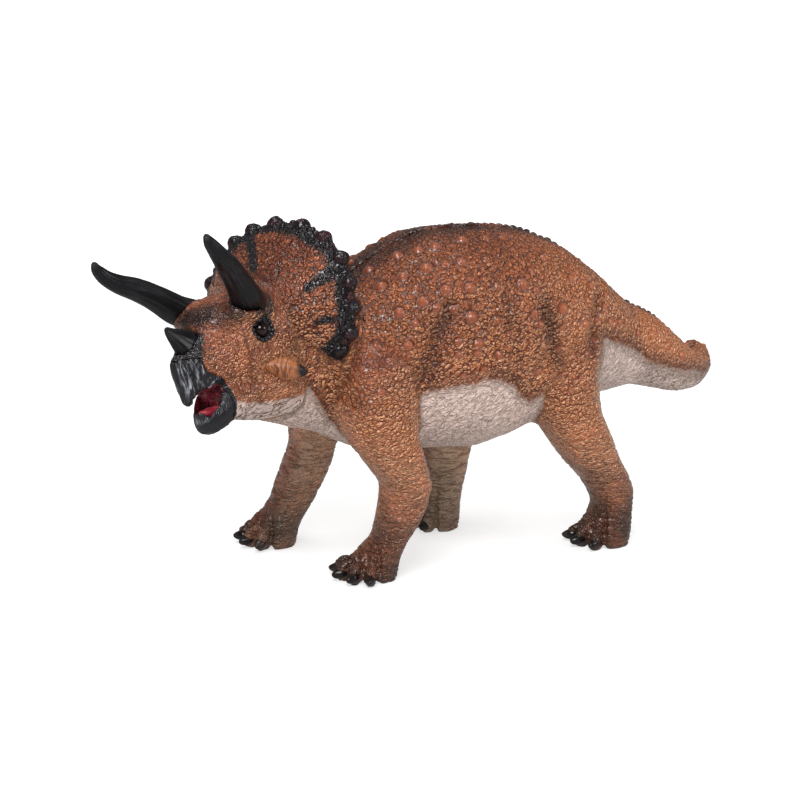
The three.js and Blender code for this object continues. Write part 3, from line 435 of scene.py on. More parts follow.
big_places = np.concatenate([BIG_TUBERCLES, BIG_TUBERCLES[:MIRRORED_TUBERCLES] * (1, -1, 1, 1)])
to_big = np.min([np.linalg.norm(figure_places - place[:3], axis=1) for place in big_places], axis=0)
upper_leg = leg_share * smooth_step(38, 50, height)
tubercled_area = np.clip(body_share * (1 - cream) + upper_leg, 0, 1)
tubercled = tubercled_area * smooth_step(3, 4.5, to_big) * smooth_step(4, 9, np.abs(figure_places[:, 1]))
pebbled = body_share * (1 - 0.7 * cream) + leg_share * (0.75 - 0.55 * smooth_step(52, 22, height))
pebbled = pebbled + 1.1 * frill_share + 0.25 * face_share * smooth_step(0, 3, behind_beak)
folded = bell((figure_places[:, 0] - 17.5) / 7) + smooth_step(-22, -30, figure_places[:, 0])
wrinkled = body_share * (0.15 + 0.6 * np.clip(folded, 0, 1)) * (1 - cream)
wrinkled = wrinkled + leg_share * (0.25 + 0.75 * smooth_step(46, 24, height)) + 0.8 * cream + 0.2 * cream * tail_share
wrinkled = wrinkled + 0.75 * face_share * smooth_step(0, 1.5, behind_beak)

# Along the wrinkles a coordinate runs slowly, so that noise read there is drawn out into lines
upright_way = figure_places * (1, 1, 0.22)
slanting = np.array([0.7, 0, 0.7])
slanted_way = figure_places - 0.75 * (figure_places @ slanting)[:, None] * slanting
upright_way = upright_way + (slanted_way - upright_way) * cream[:, None]
leg_way = figure_places * (0.2, 0.2, 1.1)
round_beak, round_spike = [
    np.stack([np.hypot(head_x - x, head_z - z), 2.5 * np.arctan2(head_z - z, head_x - x), 0.3 * head_y], axis=1)
    for x, z in LINES_ROUND
]
face_way = np.where((head_x < -6)[:, None], round_beak, round_spike)
grain = upright_way * (1 - leg_share - face_share)[:, None] + leg_way * leg_share[:, None]
grain = grain + face_way * face_share[:, None]


def store(mesh, name, values):
    """Gives each point of a mesh its number or its vector, by name."""
    kind, key = ("FLOAT", "value") if np.ndim(values) == 1 else ("FLOAT_VECTOR", "vector")
    if name in mesh.attributes:
        mesh.attributes.remove(mesh.attributes[name])
    mesh.attributes.new(name, kind, "POINT").data.foreach_set(key, np.asarray(values, np.float32).ravel())


for name, values in (("pebbled", pebbled), ("tubercled", tubercled), ("wrinkled", wrinkled)):
    store(skin_mesh, name, np.clip(values, 0, 1.2))
store(skin_mesh, "grain", grain * MM)
tubercle_mesh = mesh_of("tubercle_places", big_places[:, :3] * MM + figure_shift, [])
store(tubercle_mesh, "tubercle_size", big_places[:, 3] * MM)
tubercle_points = new_object("tubercle_places", tubercle_mesh)

SOFT = {"interpolation_type": "SMOOTHSTEP"}  # makes a Map Range rise softly from its low end to its high end


def raised(tree, geometry, rise):
    """Moves a geometry's points out along their normals."""
    push = add_node(tree, "VectorMath", add_node(tree, "GeometryNodeInputNormal"), Scale=rise, operation="SCALE")
    return add_node(tree, "GeometryNodeSetPosition", geometry, Offset=push)


scales, given = new_tree(
    "skin_scales", Scale_spacing="Float", Scale_height="Float", Wrinkle_spacing="Float", Wrinkle_depth="Float",
    Tubercle_spacing="Float", Tubercle_radius="Float", Placed_tubercles="Object", Seed="Int", Material="Material",
)
mask = {
    name: add_node(scales, "GeometryNodeInputNamedAttribute", Name=name)
    for name in ("pebbled", "wrinkled", "tubercled", "tubercle_size")
}
position = add_node(scales, "GeometryNodeInputPosition")
scale_rate = 1.0 / given["Scale spacing"]
cells = add_node(scales, "TexVoronoi", Vector=position, Scale=scale_rate)
wide_cells = add_node(scales, "TexVoronoi", Vector=position, Scale=scale_rate * WIDE_SCALES)
wide_pick = add_node(scales, "FunctionNodeSeparateColor", wide_cells.also("Color"))
wide_pick = add_node(scales, "Math", wide_pick, WIDE_LEFT_OUT, operation="GREATER_THAN")
domes = add_node(scales, "MapRange", cells, 0.12, 0.62, 1.0, 0.0, **SOFT)
domes = domes | add_node(scales, "MapRange", wide_cells, 0.08, 0.42, 1.3, 0.0, **SOFT) * wide_pick
pebbles = (domes - 0.5) * mask["pebbled"] * given["Scale height"]

lines_way = add_node(scales, "GeometryNodeInputNamedAttribute", Name="grain", data_type="FLOAT_VECTOR")
wrinkle_rate = 1.0 / given["Wrinkle spacing"]
waves = add_node(scales, "TexNoise", Vector=lines_way, Scale=wrinkle_rate, Detail=1.5, Distortion=0.6)
grooves = add_node(scales, "MapRange", abs(waves - 0.5), 0.0, 0.07, 1.0, 0.0, **SOFT)
grooves = grooves * mask["wrinkled"] * given["Wrinkle depth"]

scattered = add_node(
    scales, "GeometryNodeDistributePointsOnFaces", given["Geometry"], distribute_method="POISSON",
    Distance_Min=given["Tubercle spacing"], Density_Max=MOST_TUBERCLES, Density_Factor=mask["tubercled"],
    Seed=given["Seed"],
)
any_size = add_node(scales, "FunctionNodeRandomValue", *TUBERCLE_RANGE, Seed=given["Seed"])
sized = add_node(scales, "GeometryNodeStoreNamedAttribute", scattered, Name="tubercle_size",
                 Value=any_size * given["Tubercle radius"])
placed = add_node(scales, "GeometryNodeObjectInfo", given["Placed tubercles"], out="Geometry")
placed = add_node(scales, "GeometryNodeMeshToPoints", placed)
all_points = add_node(scales, "GeometryNodeJoinGeometry", [sized, placed])
nearest = add_node(scales, "GeometryNodeSampleNearest", all_points)
middle = add_node(scales, "GeometryNodeSampleIndex", all_points, position, nearest, data_type="FLOAT_VECTOR")
radius = add_node(scales, "GeometryNodeSampleIndex", all_points, mask["tubercle_size"], nearest)
reach = add_node(scales, "VectorMath", position, middle, operation="DISTANCE") / radius
level = {name: add_node(scales, "MapRange", reach, *span, **SOFT) for name, span in ROUND_TUBERCLE.items()}
bumps = level["bump"] - level["hollow_start"] * level["hollow_end"] + level["ring_start"] * level["ring_end"]
rise = (pebbles - grooves) * level["clear"] + bumps * radius * TUBERCLE_RISE
# A painted highlight on the side of each tubercle's top towards the light, and painted shade in the ring round it
from_middle = add_node(scales, "VectorMath", position, middle, operation="SUBTRACT")
from_middle = add_node(scales, "VectorMath", from_middle, HIGHLIGHT_WAY, operation="DOT_PRODUCT") / radius
dome_top = add_node(scales, "MapRange", from_middle, 0.15, 0.5, 0.0, 0.16, **SOFT) * level["top"]
flow = given["Geometry"]
moat = level["moat_start"] * level["moat_end"]
for name, value in (("moat", moat), ("dome", level["dome"]), ("dome_top", dome_top), ("relief", rise)):
    flow = add_node(scales, "GeometryNodeStoreNamedAttribute", flow, Name=name, Value=value)
end_tree(scales, raised(scales, flow, rise), given["Material"])

# The moulded skin: its paint
# Rust-brown paint, sprayed in layers over cream PVC, with a dark wash and painted shade in the hollows of the scales
# and under their lower edges, painted highlights on their upper edges, and a satin varnish over all, which gives
# small sharp glints. The darker and lighter areas are sprayed by hand.
RUST = "#c26d46"
RUST_DEEP = "#88452c"
OCHRE = "#c17446"
RED_BROWN = "#6d2a1a"
CREAM = "#dcc5bb"
DARK = "#2a1b16"
FOOT_BROWN = "#38281f"
GREY_TAN = "#dcc2a4"
RIM_BLACK = "#1a1519"
# The dark wash of the scales' hollows, with painted shade there and under the lower edges
WASH_AND_SHADE = "#3a160b"
# The painted highlight on the upper edges of scales and tubercles
PAINTED_HIGHLIGHT = "#f0b080"
MOUTH_RED = "#7d1a2c"
RING_HEIGHT, TINY_HEIGHT, LINE_DEPTH = 0.6 * MM, 0.1 * MM, 0.28 * MM  # the relief that is too fine for the mesh
CELL_DRIFT = 0.7 * MM  # how far the painted scales stray from even ones


def per(size):
    """How often a pattern of this size in millimetres comes in a metre."""
    return 1 / (size * MM)


def new_material(name):
    """An empty material: itself, its tree, and the object coordinates that its patterns read."""
    made = bpy.data.materials.new(name)
    made.use_nodes = True
    made.node_tree.nodes.clear()
    return made, made.node_tree, add_node(made.node_tree, "TexCoord", out="Object")


def layered(tree, paint, *coats):
    """Paint with coats over it, each given as the share that it covers and its colour."""
    for share, coat in coats:
        paint = add_node(tree, "Mix", share, paint, coat, data_type="RGBA")
    return paint


def lay_paint(tree, paint, roughness, height=None, **inputs):
    """Ends a material in its shader, with a relief in metres; a word is a value on the shader's own socket."""
    if height:
        inputs["Normal"] = add_node(tree, "Bump", Strength=1.0, Distance=1.0, Height=height)
    shader = add_node(tree, "BsdfPrincipled", Base_Color=paint, Roughness=roughness, IOR=1.5, **inputs)
    add_node(tree, "OutputMaterial", shader)


skin_paint, tree, spot = new_material("painted_soft_pvc")
mask = {
    name: add_node(tree, "Attribute", out="Fac", attribute_name=name) for name in (
        "pebbled", "wrinkled", "dome", "dome_top", "moat", "ochre", "grey", "blush", "cream", "shade", "foot", "rim",
        "mouth", "washed", "brushed",
    )
}
lines_way = add_node(tree, "Attribute", out="Vector", attribute_name="grain")
mottle = add_node(tree, "TexNoise", Vector=spot, Scale=per(9.09), Detail=4.0)
speckle = add_node(tree, "TexNoise", Vector=spot, Scale=per(1.111), Detail=2.0)
uneven = add_node(tree, "TexNoise", out="Color", Vector=spot, Scale=per(1.4286), Detail=1.0)
drifted = add_node(tree, "VectorMath", uneven, (CELL_DRIFT,) * 3, spot, operation="MULTIPLY_ADD")
cell = add_node(tree, "TexVoronoi", Vector=drifted, Scale=per(SCALE_SPACING))
tiny = add_node(tree, "TexVoronoi", Vector=spot, Scale=per(0.6))
lines = add_node(tree, "TexNoise", Vector=lines_way, Scale=per(1.2), Detail=2.0, Distortion=0.3)
rings = add_node(tree, "MapRange", cell, 0.05, 0.3, 0.45, 1.0, **SOFT)
rings = rings * add_node(tree, "MapRange", cell, 0.34, 0.66, 1.0, 0.0, **SOFT)
between = add_node(tree, "MapRange", cell, 0.42, 0.72, **SOFT)
tiny_domes = add_node(tree, "MapRange", tiny, 0.15, 0.6, 1.0, 0.0, **SOFT)
line_grooves = add_node(tree, "MapRange", abs(lines - 0.5), 0.0, 0.05, 1.0, 0.0, **SOFT)


def ragged(name, spread=0.5, half=0.2):
    """A mask with its border broken up by the mottling."""
    drift = (mottle - 0.5) * (spread * 2) + (speckle - 0.5) * spread
    return add_node(tree, "MapRange", mask[name] + drift, 0.5 - half, 0.5 + half, **SOFT)


def sprayed(name, most, uneven_share=0.6):
    """A mask laid on softly up to a share, thinner and thicker with the mottling."""
    return mask[name] * add_node(tree, "MapRange", mottle, 0.3, 0.65, 1 - uneven_share, 1.0, **SOFT) * most


pebble_share = mask["pebbled"] * (1.0 - mask["dome"])
line_share = line_grooves * mask["wrinkled"]
rise = rings * pebble_share * RING_HEIGHT + tiny_domes * (1.0 - mask["dome"] * 0.8) * TINY_HEIGHT
rise = rise + line_share * -LINE_DEPTH
bumped = add_node(tree, "Bump", Strength=1.0, Distance=1.0, Height=rise)

# Painted highlight on each scale's upper edge, towards the light, and painted shade under its lower edge
tilt = add_node(tree, "VectorMath", bumped, add_node(tree, "NewGeometry", out="Normal"), operation="SUBTRACT")
tilt = add_node(tree, "VectorMath", tilt, HIGHLIGHT_WAY, operation="DOT_PRODUCT")
highlit_upper_edge = add_node(tree, "MapRange", tilt, 0.1, 0.45, **SOFT)
shaded_lower_edge = add_node(tree, "MapRange", tilt, -0.1, -0.45, **SOFT)
# Dark wash with painted shade: between the scales, in the wrinkles, under each scale's lower edge and round each
# tubercle
wash_and_shade_mask = between * pebble_share | shaded_lower_edge * 0.8 | line_share
wash_and_shade_mask = wash_and_shade_mask * add_node(tree, "MapRange", speckle, 0.3, 0.55, 0.5, 0.95, **SOFT) | mask["moat"] * 0.85
patchy_highlight = mask["brushed"] * add_node(tree, "MapRange", speckle, 0.35, 0.6, 0.3, 1.0, **SOFT)
paint = layered(
    tree, RUST,
    (add_node(tree, "MapRange", mottle, 0.35, 0.65, **SOFT), RUST_DEEP),
    (sprayed("ochre", 1.0), OCHRE),
    (sprayed("grey", 0.95, 0.3), GREY_TAN),
    (sprayed("blush", 1.0, 0.15), RED_BROWN),
    (ragged("cream", 0.45), CREAM),
    (sprayed("shade", 1.0, 0.25), DARK),
    (sprayed("foot", 0.95, 0.3), FOOT_BROWN),
    (mask["dome"] * mask["washed"] * 0.8, RUST_DEEP),
    # the dark wash with painted shade in the hollows
    (wash_and_shade_mask * mask["washed"], WASH_AND_SHADE),
    # the painted highlights on the upper edges and the tubercles' tops
    ((highlit_upper_edge | mask["dome_top"]) * patchy_highlight, PAINTED_HIGHLIGHT),
    (ragged("rim", 0.7, 0.32), RIM_BLACK),
    (mask["mouth"], MOUTH_RED),
)
satin = add_node(tree, "MapRange", speckle, 0.3, 0.7, 0.2, 0.36, **SOFT)
lay_paint(tree, paint, satin, Normal=bumped, Coat_Normal=bumped, Specular_IOR_Level=0.3, Coat_Weight=0.8,
          Coat_Roughness=0.12)  # the coat is the varnish

skin_mesh = apply_tree(
    skin, scales, Scale_spacing=SCALE_SPACING * MM, Scale_height=SCALE_HEIGHT * MM,
    Wrinkle_spacing=WRINKLE_SPACING * MM, Wrinkle_depth=WRINKLE_DEPTH * MM, Tubercle_spacing=TUBERCLE_SPACING * MM,
    Tubercle_radius=TUBERCLE_RADIUS * MM, Placed_tubercles=tubercle_points, Seed=11, Material=skin_paint,
)
bpy.data.objects.remove(tubercle_points)

FRILL_MARKS = [  # dark wedges on the frill: rim end and inner end across and up the head, and half widths there
    (4.4, 21.6, -2.0, 13.0, 1.7, 1.2), (-21.0, 8.2, -15.6, 5.6, 2.6, 1.4), (-22.5, -3.8, -16.0, -3.1, 1.5, 0.8),
    (-19.5, -10.8, -13.0, -11.0, 2.0, 1.7), (21.0, 8.2, 15.6, 5.6, 2.6, 1.4), (22.5, -3.8, 16.0, -3.1, 1.5, 0.8),
    (19.5, -10.8, 13.0, -11.0, 2.0, 1.7),
]
THIGH_STRIPE = [(28.3, 22.6, 70), (29.3, 23.7, 64.3), (30.2, 24.2, 59.2), (31.5, 25, 54.5), (33.5, 25, 48)]
FLANK_STRIPE = [(20.2, 21, 75), (18.8, 23.5, 69.2), (18.3, 25, 64.9), (18.3, 25.6, 61)]
HIP_STRIPE = [(49.2, 16.5, 68.5), (48, 18, 65.3), (45.8, 20.6, 60.8), (43.7, 22.7, 55.4), (41.7, 24.6, 50)]
STRIPES = [  # each with its width and how dark it is
    (SHOULDER_FURROW, 2.9, 0.95), (THIGH_STRIPE, 2.6, 0.9), (HIP_STRIPE, 1.8, 0.65), (FLANK_STRIPE, 2.0, 0.5),
]
SPINE_WAY = (  # along the body, and aside, because the tail curls to the right
    (-40, -33, -20, 66, 72, 79, 86, 92, 97.5, 102, 104.5, 106),
    (-5, -3.2, 0, 0, 0.3, 0.8, 2, 5.1, 9.9, 15.8, 21.7, 25.5),
)
TAIL_START = 66
NOSE_EDGE = (-2.9, -1.3, 0.8, 2.9, 6), (-18.2, -17.6, -16.3, -14.2, -13)
MOUTH_PLACE = np.array([-15.4, 0, -12.6])
MOUTH_HALF = np.array([5.2, 4.1, 4.9])

back_x, back_y = figure_places[:, 0], figure_places[:, 1]
facing_back, facing_aside, facing_up = skin_normals.T
to_spine = np.abs(back_y - np.interp(back_x, *SPINE_WAY))
spine = 0.7 * smooth_step(9, 3.5, to_spine) + 0.15 * smooth_step(17, 6, to_spine)
spine = np.where(back_x < TAIL_START, spine, smooth_step(3.4, 1.6, to_spine))
spine = spine * smooth_step(0.1, 0.6, facing_up) * body_share * (1 - 0.8 * smooth_step(86, 95, back_x))
stripes = np.zeros(len(skin_places))
for line, width, share in STRIPES:
    line_gap, line_along = gap_to_line(near_side, line)
    line_fade = smooth_step(-0.1, 0.2, line_along) * smooth_step(1.05, 0.8, line_along)
    stripes = np.maximum(stripes, share * line_fade * bell(line_gap / width))
inner = leg_share * smooth_step(-0.1, 0.5, -np.sign(back_y) * facing_aside) * smooth_step(56, 46, height)
brow = np.exp(-(((head_x + 8.4) / 4.6) ** 2 + ((head_z - 5.8) / 4.0) ** 2)) * face_share
nose = smooth_step(3.0, -1.6, head_x - np.interp(head_z, *NOSE_EDGE)) * smooth_step(-6, -3, head_z) * face_share
chin_patch = np.exp(-(((head_x - 2.4) / 1.6) ** 2 + ((head_z + 16.4) / 2.2) ** 2)) * face_share
eye_gap = np.linalg.norm(near_head - (-0.3, 9.9, -0.2), axis=1)
over_eye = np.linalg.norm(near_head - (-0.3, 10, 3.6), axis=1)
eye_ring = np.maximum(smooth_step(3.9, 2.7, eye_gap), 0.6 * smooth_step(3.2, 1.2, over_eye))
shade = np.max([
    spine, 0.9 * stripes * (1 - head_share), np.minimum(1.5 * brow, 1),
    0.9 * smooth_step(8.2, 4.8, horn_gap) * face_share, 0.5 * chin_patch, 0.25 * frill_share,
    0.5 * face_share * (1 - 0.7 * cream), 0.22 * leg_share * (1 - inner), 0.9 * nose,
], axis=0)
rim_edge = np.where(head_z > FRILL_MIDDLE, 0.895, 0.87)
rim = frill_share * smooth_step(rim_edge - 0.06, rim_edge + 0.05, frill_reach)
for rim_y, rim_z, end_y, end_z, rim_half, end_half in FRILL_MARKS:
    mark_gap, mark_along = gap_to_line(head_places * (0, 1, 1), [(0, rim_y, rim_z), (0, end_y, end_z)])
    mark_half = rim_half + (end_half - rim_half) * mark_along
    rim = np.maximum(rim, 0.95 * frill_share * smooth_step(1.5, -1.3, mark_gap - mark_half))
horn_base = 0.5 * smooth_step(6.6, 4.8, horn_gap) * face_share
rim = np.max([rim, smooth_step(0.55, 1, nose), eye_ring, 0.5 * brow, horn_base], axis=0)
blush = 0.9 * body_share * smooth_step(-1.5, 0.6, above_belly) * smooth_step(5.5, 1, above_belly)
rear = leg_share * smooth_step(0.35, 0.9, facing_back) * smooth_step(60, 50, height) * smooth_step(-10, 0, back_x)
forearm = leg_share * smooth_step(58, 46, height) * smooth_step(16, 30, height)
shin = leg_share * smooth_step(40, 28, height) * smooth_step(8, 18, height)
grey = np.max([inner * np.where(back_x < 0, 0.5, 1.0), 0.75 * rear, 0.1 * shin], axis=0)
hip = body_share * smooth_step(24, 36, back_x)
ochre = 0.35 * face_share * smooth_step(-4, -11, head_z) + 0.45 * body_share + 0.3 * hip + 0.6 * tail_share
ochre = ochre + 0.6 * forearm * (1 - inner)
foot = leg_share * smooth_step(30, 2, height) * np.where(back_x > 0, np.where(back_y < 0, 1.15, 0.7), 1.0)
in_mouth = (head_places - MOUTH_PLACE) / MOUTH_HALF
mouth_reach = np.linalg.norm(in_mouth, axis=1)
facing_in = -(head_normals * in_mouth).sum(axis=1) / mouth_reach
mouth = smooth_step(1.5, 1.3, mouth_reach) * smooth_step(0.0, 0.4, facing_in) * is_head
# How strong the dark wash and its painted shade are
washed = 0.95 - 0.25 * cream * (1 - tail_share) - 0.35 * tail_share * (1 - cream)
washed = washed - 0.3 * inner - 0.2 * hip * (1 - cream)
# Where the painted highlights show
brushed = 0.92 * (1 - 0.85 * foot) * (1 - cream) * (1 - 0.6 * brow) * (1 - 0.55 * stripes) + 0.3 * cream
carried = {
    "cream": cream, "shade": shade, "rim": rim, "blush": blush, "ochre": ochre, "foot": foot, "grey": grey,
    "mouth": mouth, "washed": washed, "brushed": brushed, "pebbled": pebbled, "wrinkled": wrinkled,
    "grain": grain * MM, "relief": read(skin_mesh.attributes["relief"].data, "value"),
}
for name in ("moat", "dome", "dome_top"):
    carried[name] = read(skin_mesh.attributes[name].data, "value") * tubercled_area

# The moulded skin: its pieces
# Every node of the CAD skin gets its own closed piece, cut where the skin passes from one node to the next, and
# the upper beak is cut off the head's piece, because it is another material. The cuts are hidden inside.
SKIN_PIECES = SKIN_NODES + ("upper_beak",)
EVEN_ROUNDS, STRAY_ROUNDS = 6, 4


def shared_edges(faces):
    """The pairs of faces that share an edge."""
    starts, ends = faces.ravel(), np.roll(faces, -1, axis=1).ravel()
    owners = np.repeat(np.arange(len(faces)), faces.shape[1])
    keys = np.minimum(starts, ends).astype(np.int64) * (starts.max() + 1) + np.maximum(starts, ends)
    order = np.argsort(keys, kind="stable")
    same = keys[order][:-1] == keys[order][1:]
    return owners[order[:-1][same]], owners[order[1:][same]]


def islands_of(count, first, second):
    """The lowest number in each connected group."""
    group = np.arange(count)
    while True:
        lowest = np.minimum(group[first], group[second])
        joined = group.copy()
        np.minimum.at(joined, first, lowest)
        np.minimum.at(joined, second, lowest)
        joined = joined[joined]
        if (joined == group).all():
            return group
        group = joined


def smooth_labels(labels, first, second):
    """Gives ragged faces and stray islands to the piece round them."""
    kinds = labels.max() + 1
    for _ in range(EVEN_ROUNDS):
        votes = np.zeros((len(labels), kinds), int)
        np.add.at(votes, (first, labels[second]), 1)
        np.add.at(votes, (second, labels[first]), 1)
        votes[np.arange(len(labels)), labels] += 1
        labels = votes.argmax(axis=1)
    for _ in range(STRAY_ROUNDS):
        same = labels[first] == labels[second]
        group = islands_of(len(labels), first[same], second[same])
        names, inverse, sizes = np.unique(group, return_inverse=True, return_counts=True)
        main = np.array([sizes[labels[names] == kind].max(initial=0) for kind in range(kinds)])
        stray = sizes[inverse] < main[labels]
        if not stray.any():
            break
        given_to = labels.copy()
        for here, there in ((first, second), (second, first)):
            out = stray[here] & ~same
            given_to[here[out]] = labels[there[out]]
        changed = given_to != labels
        fresh = dict(zip(group[changed], given_to[changed]))
        labels = np.array([fresh.get(mark, label) if lone else label
                           for mark, label, lone in zip(group, labels, stray)])
    return labels


def closed_piece(name, faces, places, normals):
    """One piece of the skin as a closed mesh: its own faces, and hidden cones that close its openings."""
    used, local = np.unique(faces, return_inverse=True)
    local = local.reshape(faces.shape)
    starts, ends = local.ravel(), np.roll(local, -1, axis=1).ravel()
    open_edge = ~np.isin(starts.astype(np.int64) * len(used) + ends, ends.astype(np.int64) * len(used) + starts)
    starts, ends = starts[open_edge], ends[open_edge]
    group = islands_of(len(used), starts, ends)
    tips = np.unique(group[starts])
    spots = places[used]
    centres = [spots[np.unique(starts[group[starts] == tip])].mean(axis=0) for tip in tips]
    tip_index = {tip: len(used) + at for at, tip in enumerate(tips)}
    caps = [(end, start, tip_index[group[start]]) for start, end in zip(starts, ends)]
    mesh = mesh_of(name, np.concatenate([spots, np.array(centres).reshape(-1, 3)]), local.tolist() + caps)
    for label, values in carried.items():
        # The cap seen through the open mouth is red
        on_caps = np.full((len(centres),) + values.shape[1:], 1.0 if label == "mouth" else 0.0)
        store(mesh, label, np.concatenate([values[used], on_caps]))
    cap_normals = np.array([face.normal for face in mesh.polygons[len(local):]]).reshape(-1, 3)
    corner_normals = np.concatenate([normals[used][local.ravel()], np.repeat(cap_normals, 3, axis=0)])
    mesh.normals_split_custom_set([tuple(row) for row in corner_normals])
    return new_object(name, mesh)


skin_faces = read(skin_mesh.loops, "vertex_index", kind=np.int32).reshape(-1, 4)
skin_places = read(skin_mesh.vertices, "co", 3)
skin_normals = read(skin_mesh.vertices, "normal", 3)
labels = np.array([near[name][skin_faces].mean(axis=1) for name in SKIN_NODES]).argmin(axis=0)
on_beak = (labels == SKIN_NODES.index("head")) & (behind_beak[skin_faces].mean(axis=1) < 0)
labels[on_beak] = SKIN_PIECES.index("upper_beak")
labels = smooth_labels(labels, *shared_edges(skin_faces))
skin_parts = {}
for kind, name in enumerate(SKIN_PIECES):
    piece_name = name if name == "upper_beak" else "skin_" + name
    skin_parts[name] = closed_piece(piece_name, skin_faces[labels == kind], skin_places, skin_normals)
for name in SKIN_NODES:
    skin_parts[name].data.materials.append(skin_paint)
    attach(skin_parts[name], "root")
    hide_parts(name)
bpy.data.objects.remove(skin)

# The horny beak
# Upper and lower beak are the same PVC, painted satin black over moulded upright ridges, and dry-brushed with grey
# on the ridges. The mouth inside is dark red. The lower beak is the CAD's lower jaw, pegged on under the head.
BEAK_BLACK = "#1b1b1f"
BEAK_GREY = "#b4b6bf"
MOUTH_DEEP = "#3d0c14"
JAW_SWELL = 0.12 * MM
JAW_GRID = 0.28 * MM
JAW_ROUNDS = 5.0
RIDGE_WAY = (1, 1, 0.12)  # the ridges run up and down

ribs, given = new_tree(
    "horn_grooves", Levels="Int", Groove_spacing="Float", Groove_depth="Float", Swell="Float", Material="Material"
)
finer = add_node(ribs, "GeometryNodeSubdivisionSurface", given["Geometry"], Level=given["Levels"])
lines_way = add_node(ribs, "GeometryNodeInputNamedAttribute", Name="grain", data_type="FLOAT_VECTOR")
waves = add_node(ribs, "TexNoise", Vector=lines_way, Scale=1.0 / given["Groove spacing"], Detail=2.0, Distortion=0.3)
ridges = add_node(ribs, "MapRange", waves, 0.36, 0.62, -1.0, 0.0, **SOFT)
kept = add_node(ribs, "GeometryNodeStoreNamedAttribute", finer, Name="relief", Value=ridges)
end_tree(ribs, raised(ribs, kept, ridges * given["Groove depth"] + given["Swell"]), given["Material"])

beak_paint, tree, spot = new_material("satin_black_painted_pvc")
relief, dry_brushed, mouth_share = [
    add_node(tree, "Attribute", out="Fac", attribute_name=name) for name in ("relief", "dry_brushed", "mouth")
]
lines_way = add_node(tree, "Attribute", out="Vector", attribute_name="grain")
wear = add_node(tree, "TexNoise", Vector=spot, Scale=per(3.846), Detail=3.0)
hatch = add_node(tree, "TexNoise", Vector=lines_way, Scale=per(0.4545), Detail=2.0)
brush = add_node(tree, "MapRange", relief, -0.5, 0.0, **SOFT)
brush = brush * add_node(tree, "MapRange", wear, 0.38, 0.58, 0.2, 0.9, **SOFT)
brush = brush * add_node(tree, "MapRange", hatch, 0.44, 0.56, 0.05, 1.0, **SOFT) * dry_brushed
flesh = layered(tree, MOUTH_RED, (add_node(tree, "MapRange", wear, 0.35, 0.65, **SOFT), MOUTH_DEEP))
paint = layered(tree, BEAK_BLACK, (brush, BEAK_GREY), (mouth_share, flesh))
lay_paint(tree, paint, add_node(tree, "MapRange", wear, 0.3, 0.7, 0.18, 0.34, **SOFT), hatch * (0.3 * MM))

upper_beak = skin_parts["upper_beak"]
beak_places = in_head(read(upper_beak.data.vertices, "co", 3))
plain_lips = 0.2 + 0.8 * smooth_step(-12.4, -15, beak_places[:, :1])
store(upper_beak.data, "grain", beak_places * RIDGE_WAY * plain_lips * MM)
beak_brushed = smooth_step(-13.5, -17, beak_places[:, 0]) * smooth_step(-0.2, -3.5, beak_places[:, 2])
store(upper_beak.data, "dry_brushed", beak_brushed * smooth_step(0.2, 1.6, np.abs(beak_places[:, 1])))
apply_tree(upper_beak, ribs, Levels=1, Groove_spacing=0.95 * MM, Groove_depth=0.3 * MM, Swell=0.16 * MM,
           Material=beak_paint)
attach(upper_beak, "root")

lower_beak = grown_skin("lower_beak", ["lower_jaw"], JAW_SWELL, JAW_GRID)
jaw_mesh = lower_beak.data
jaw_places = read(jaw_mesh.vertices, "co", 3)
jaw_places = smoothed(jaw_places, read(jaw_mesh.edges, "vertices", 2, np.int32), np.full(len(jaw_places), JAW_ROUNDS))
move_points(jaw_mesh, jaw_places)
jaw_way = (in_head(jaw_places) - MOUTH_PLACE) / MOUTH_HALF
jaw_reach = np.linalg.norm(jaw_way, axis=1)
jaw_facing = -(read(jaw_mesh.vertices, "normal", 3) @ np.array(head_turn) * jaw_way).sum(axis=1) / jaw_reach
store(jaw_mesh, "mouth", smooth_step(1.25, 1.1, jaw_reach) * smooth_step(0.2, 0.6, jaw_facing))
store(jaw_mesh, "dry_brushed", 0.7 * bell((jaw_reach - 1.2) / 0.08))
store(jaw_mesh, "grain", in_head(jaw_places) * RIDGE_WAY * MM)
apply_tree(lower_beak, ribs, Levels=0, Groove_spacing=1.6 * MM, Groove_depth=0.12 * MM, Swell=0.05 * MM,
           Material=beak_paint)
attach(lower_beak, "root")
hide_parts("lower_jaw")

# The tongue
# A soft PVC tongue with a furrow down its middle lies in the lower beak on a peg, painted a wet-looking pink-red.
TONGUE_PLACE = np.array([-15.2, 0, -15.5])
TONGUE_HALF = np.array([3.8, 2.2, 1.5])
TONGUE_FURROW, FURROW_WIDTH = 0.5, 0.25
TONGUE_LIFT = 0.9  # its tip curls up
TONGUE_PINK = "#c04a55"
TONGUE_RED = "#8e2634"


def tube_faces(rings, sides):
    """Faces of a closed tube of so many rings of points, with the two points that close its ends after them."""
    around = [(here, (here + 1) % sides) for here in range(sides)]
    last, start, end = (rings - 1) * sides, rings * sides, rings * sides + 1
    faces = [(base + here, base + after, base + sides + after, base + sides + here)
             for base in range(0, last, sides) for here, after in around]
    return faces + [(start, after, here) for here, after in around] + [
        (last + here, last + after, end) for here, after in around]


def round_form(rings, sides):
    """Points and faces of a closed unit ball with its poles along X."""
    tilt = (math.pi * np.arange(1, rings) / rings)[:, None]
    turn = 2 * math.pi * np.arange(sides)[None] / sides
    points = np.stack([-np.cos(tilt) + 0 * turn, np.sin(tilt) * np.cos(turn), np.sin(tilt) * np.sin(turn)], axis=-1)
    return np.concatenate([points.reshape(-1, 3), [(-1, 0, 0), (1, 0, 0)]]), tube_faces(rings - 1, sides)


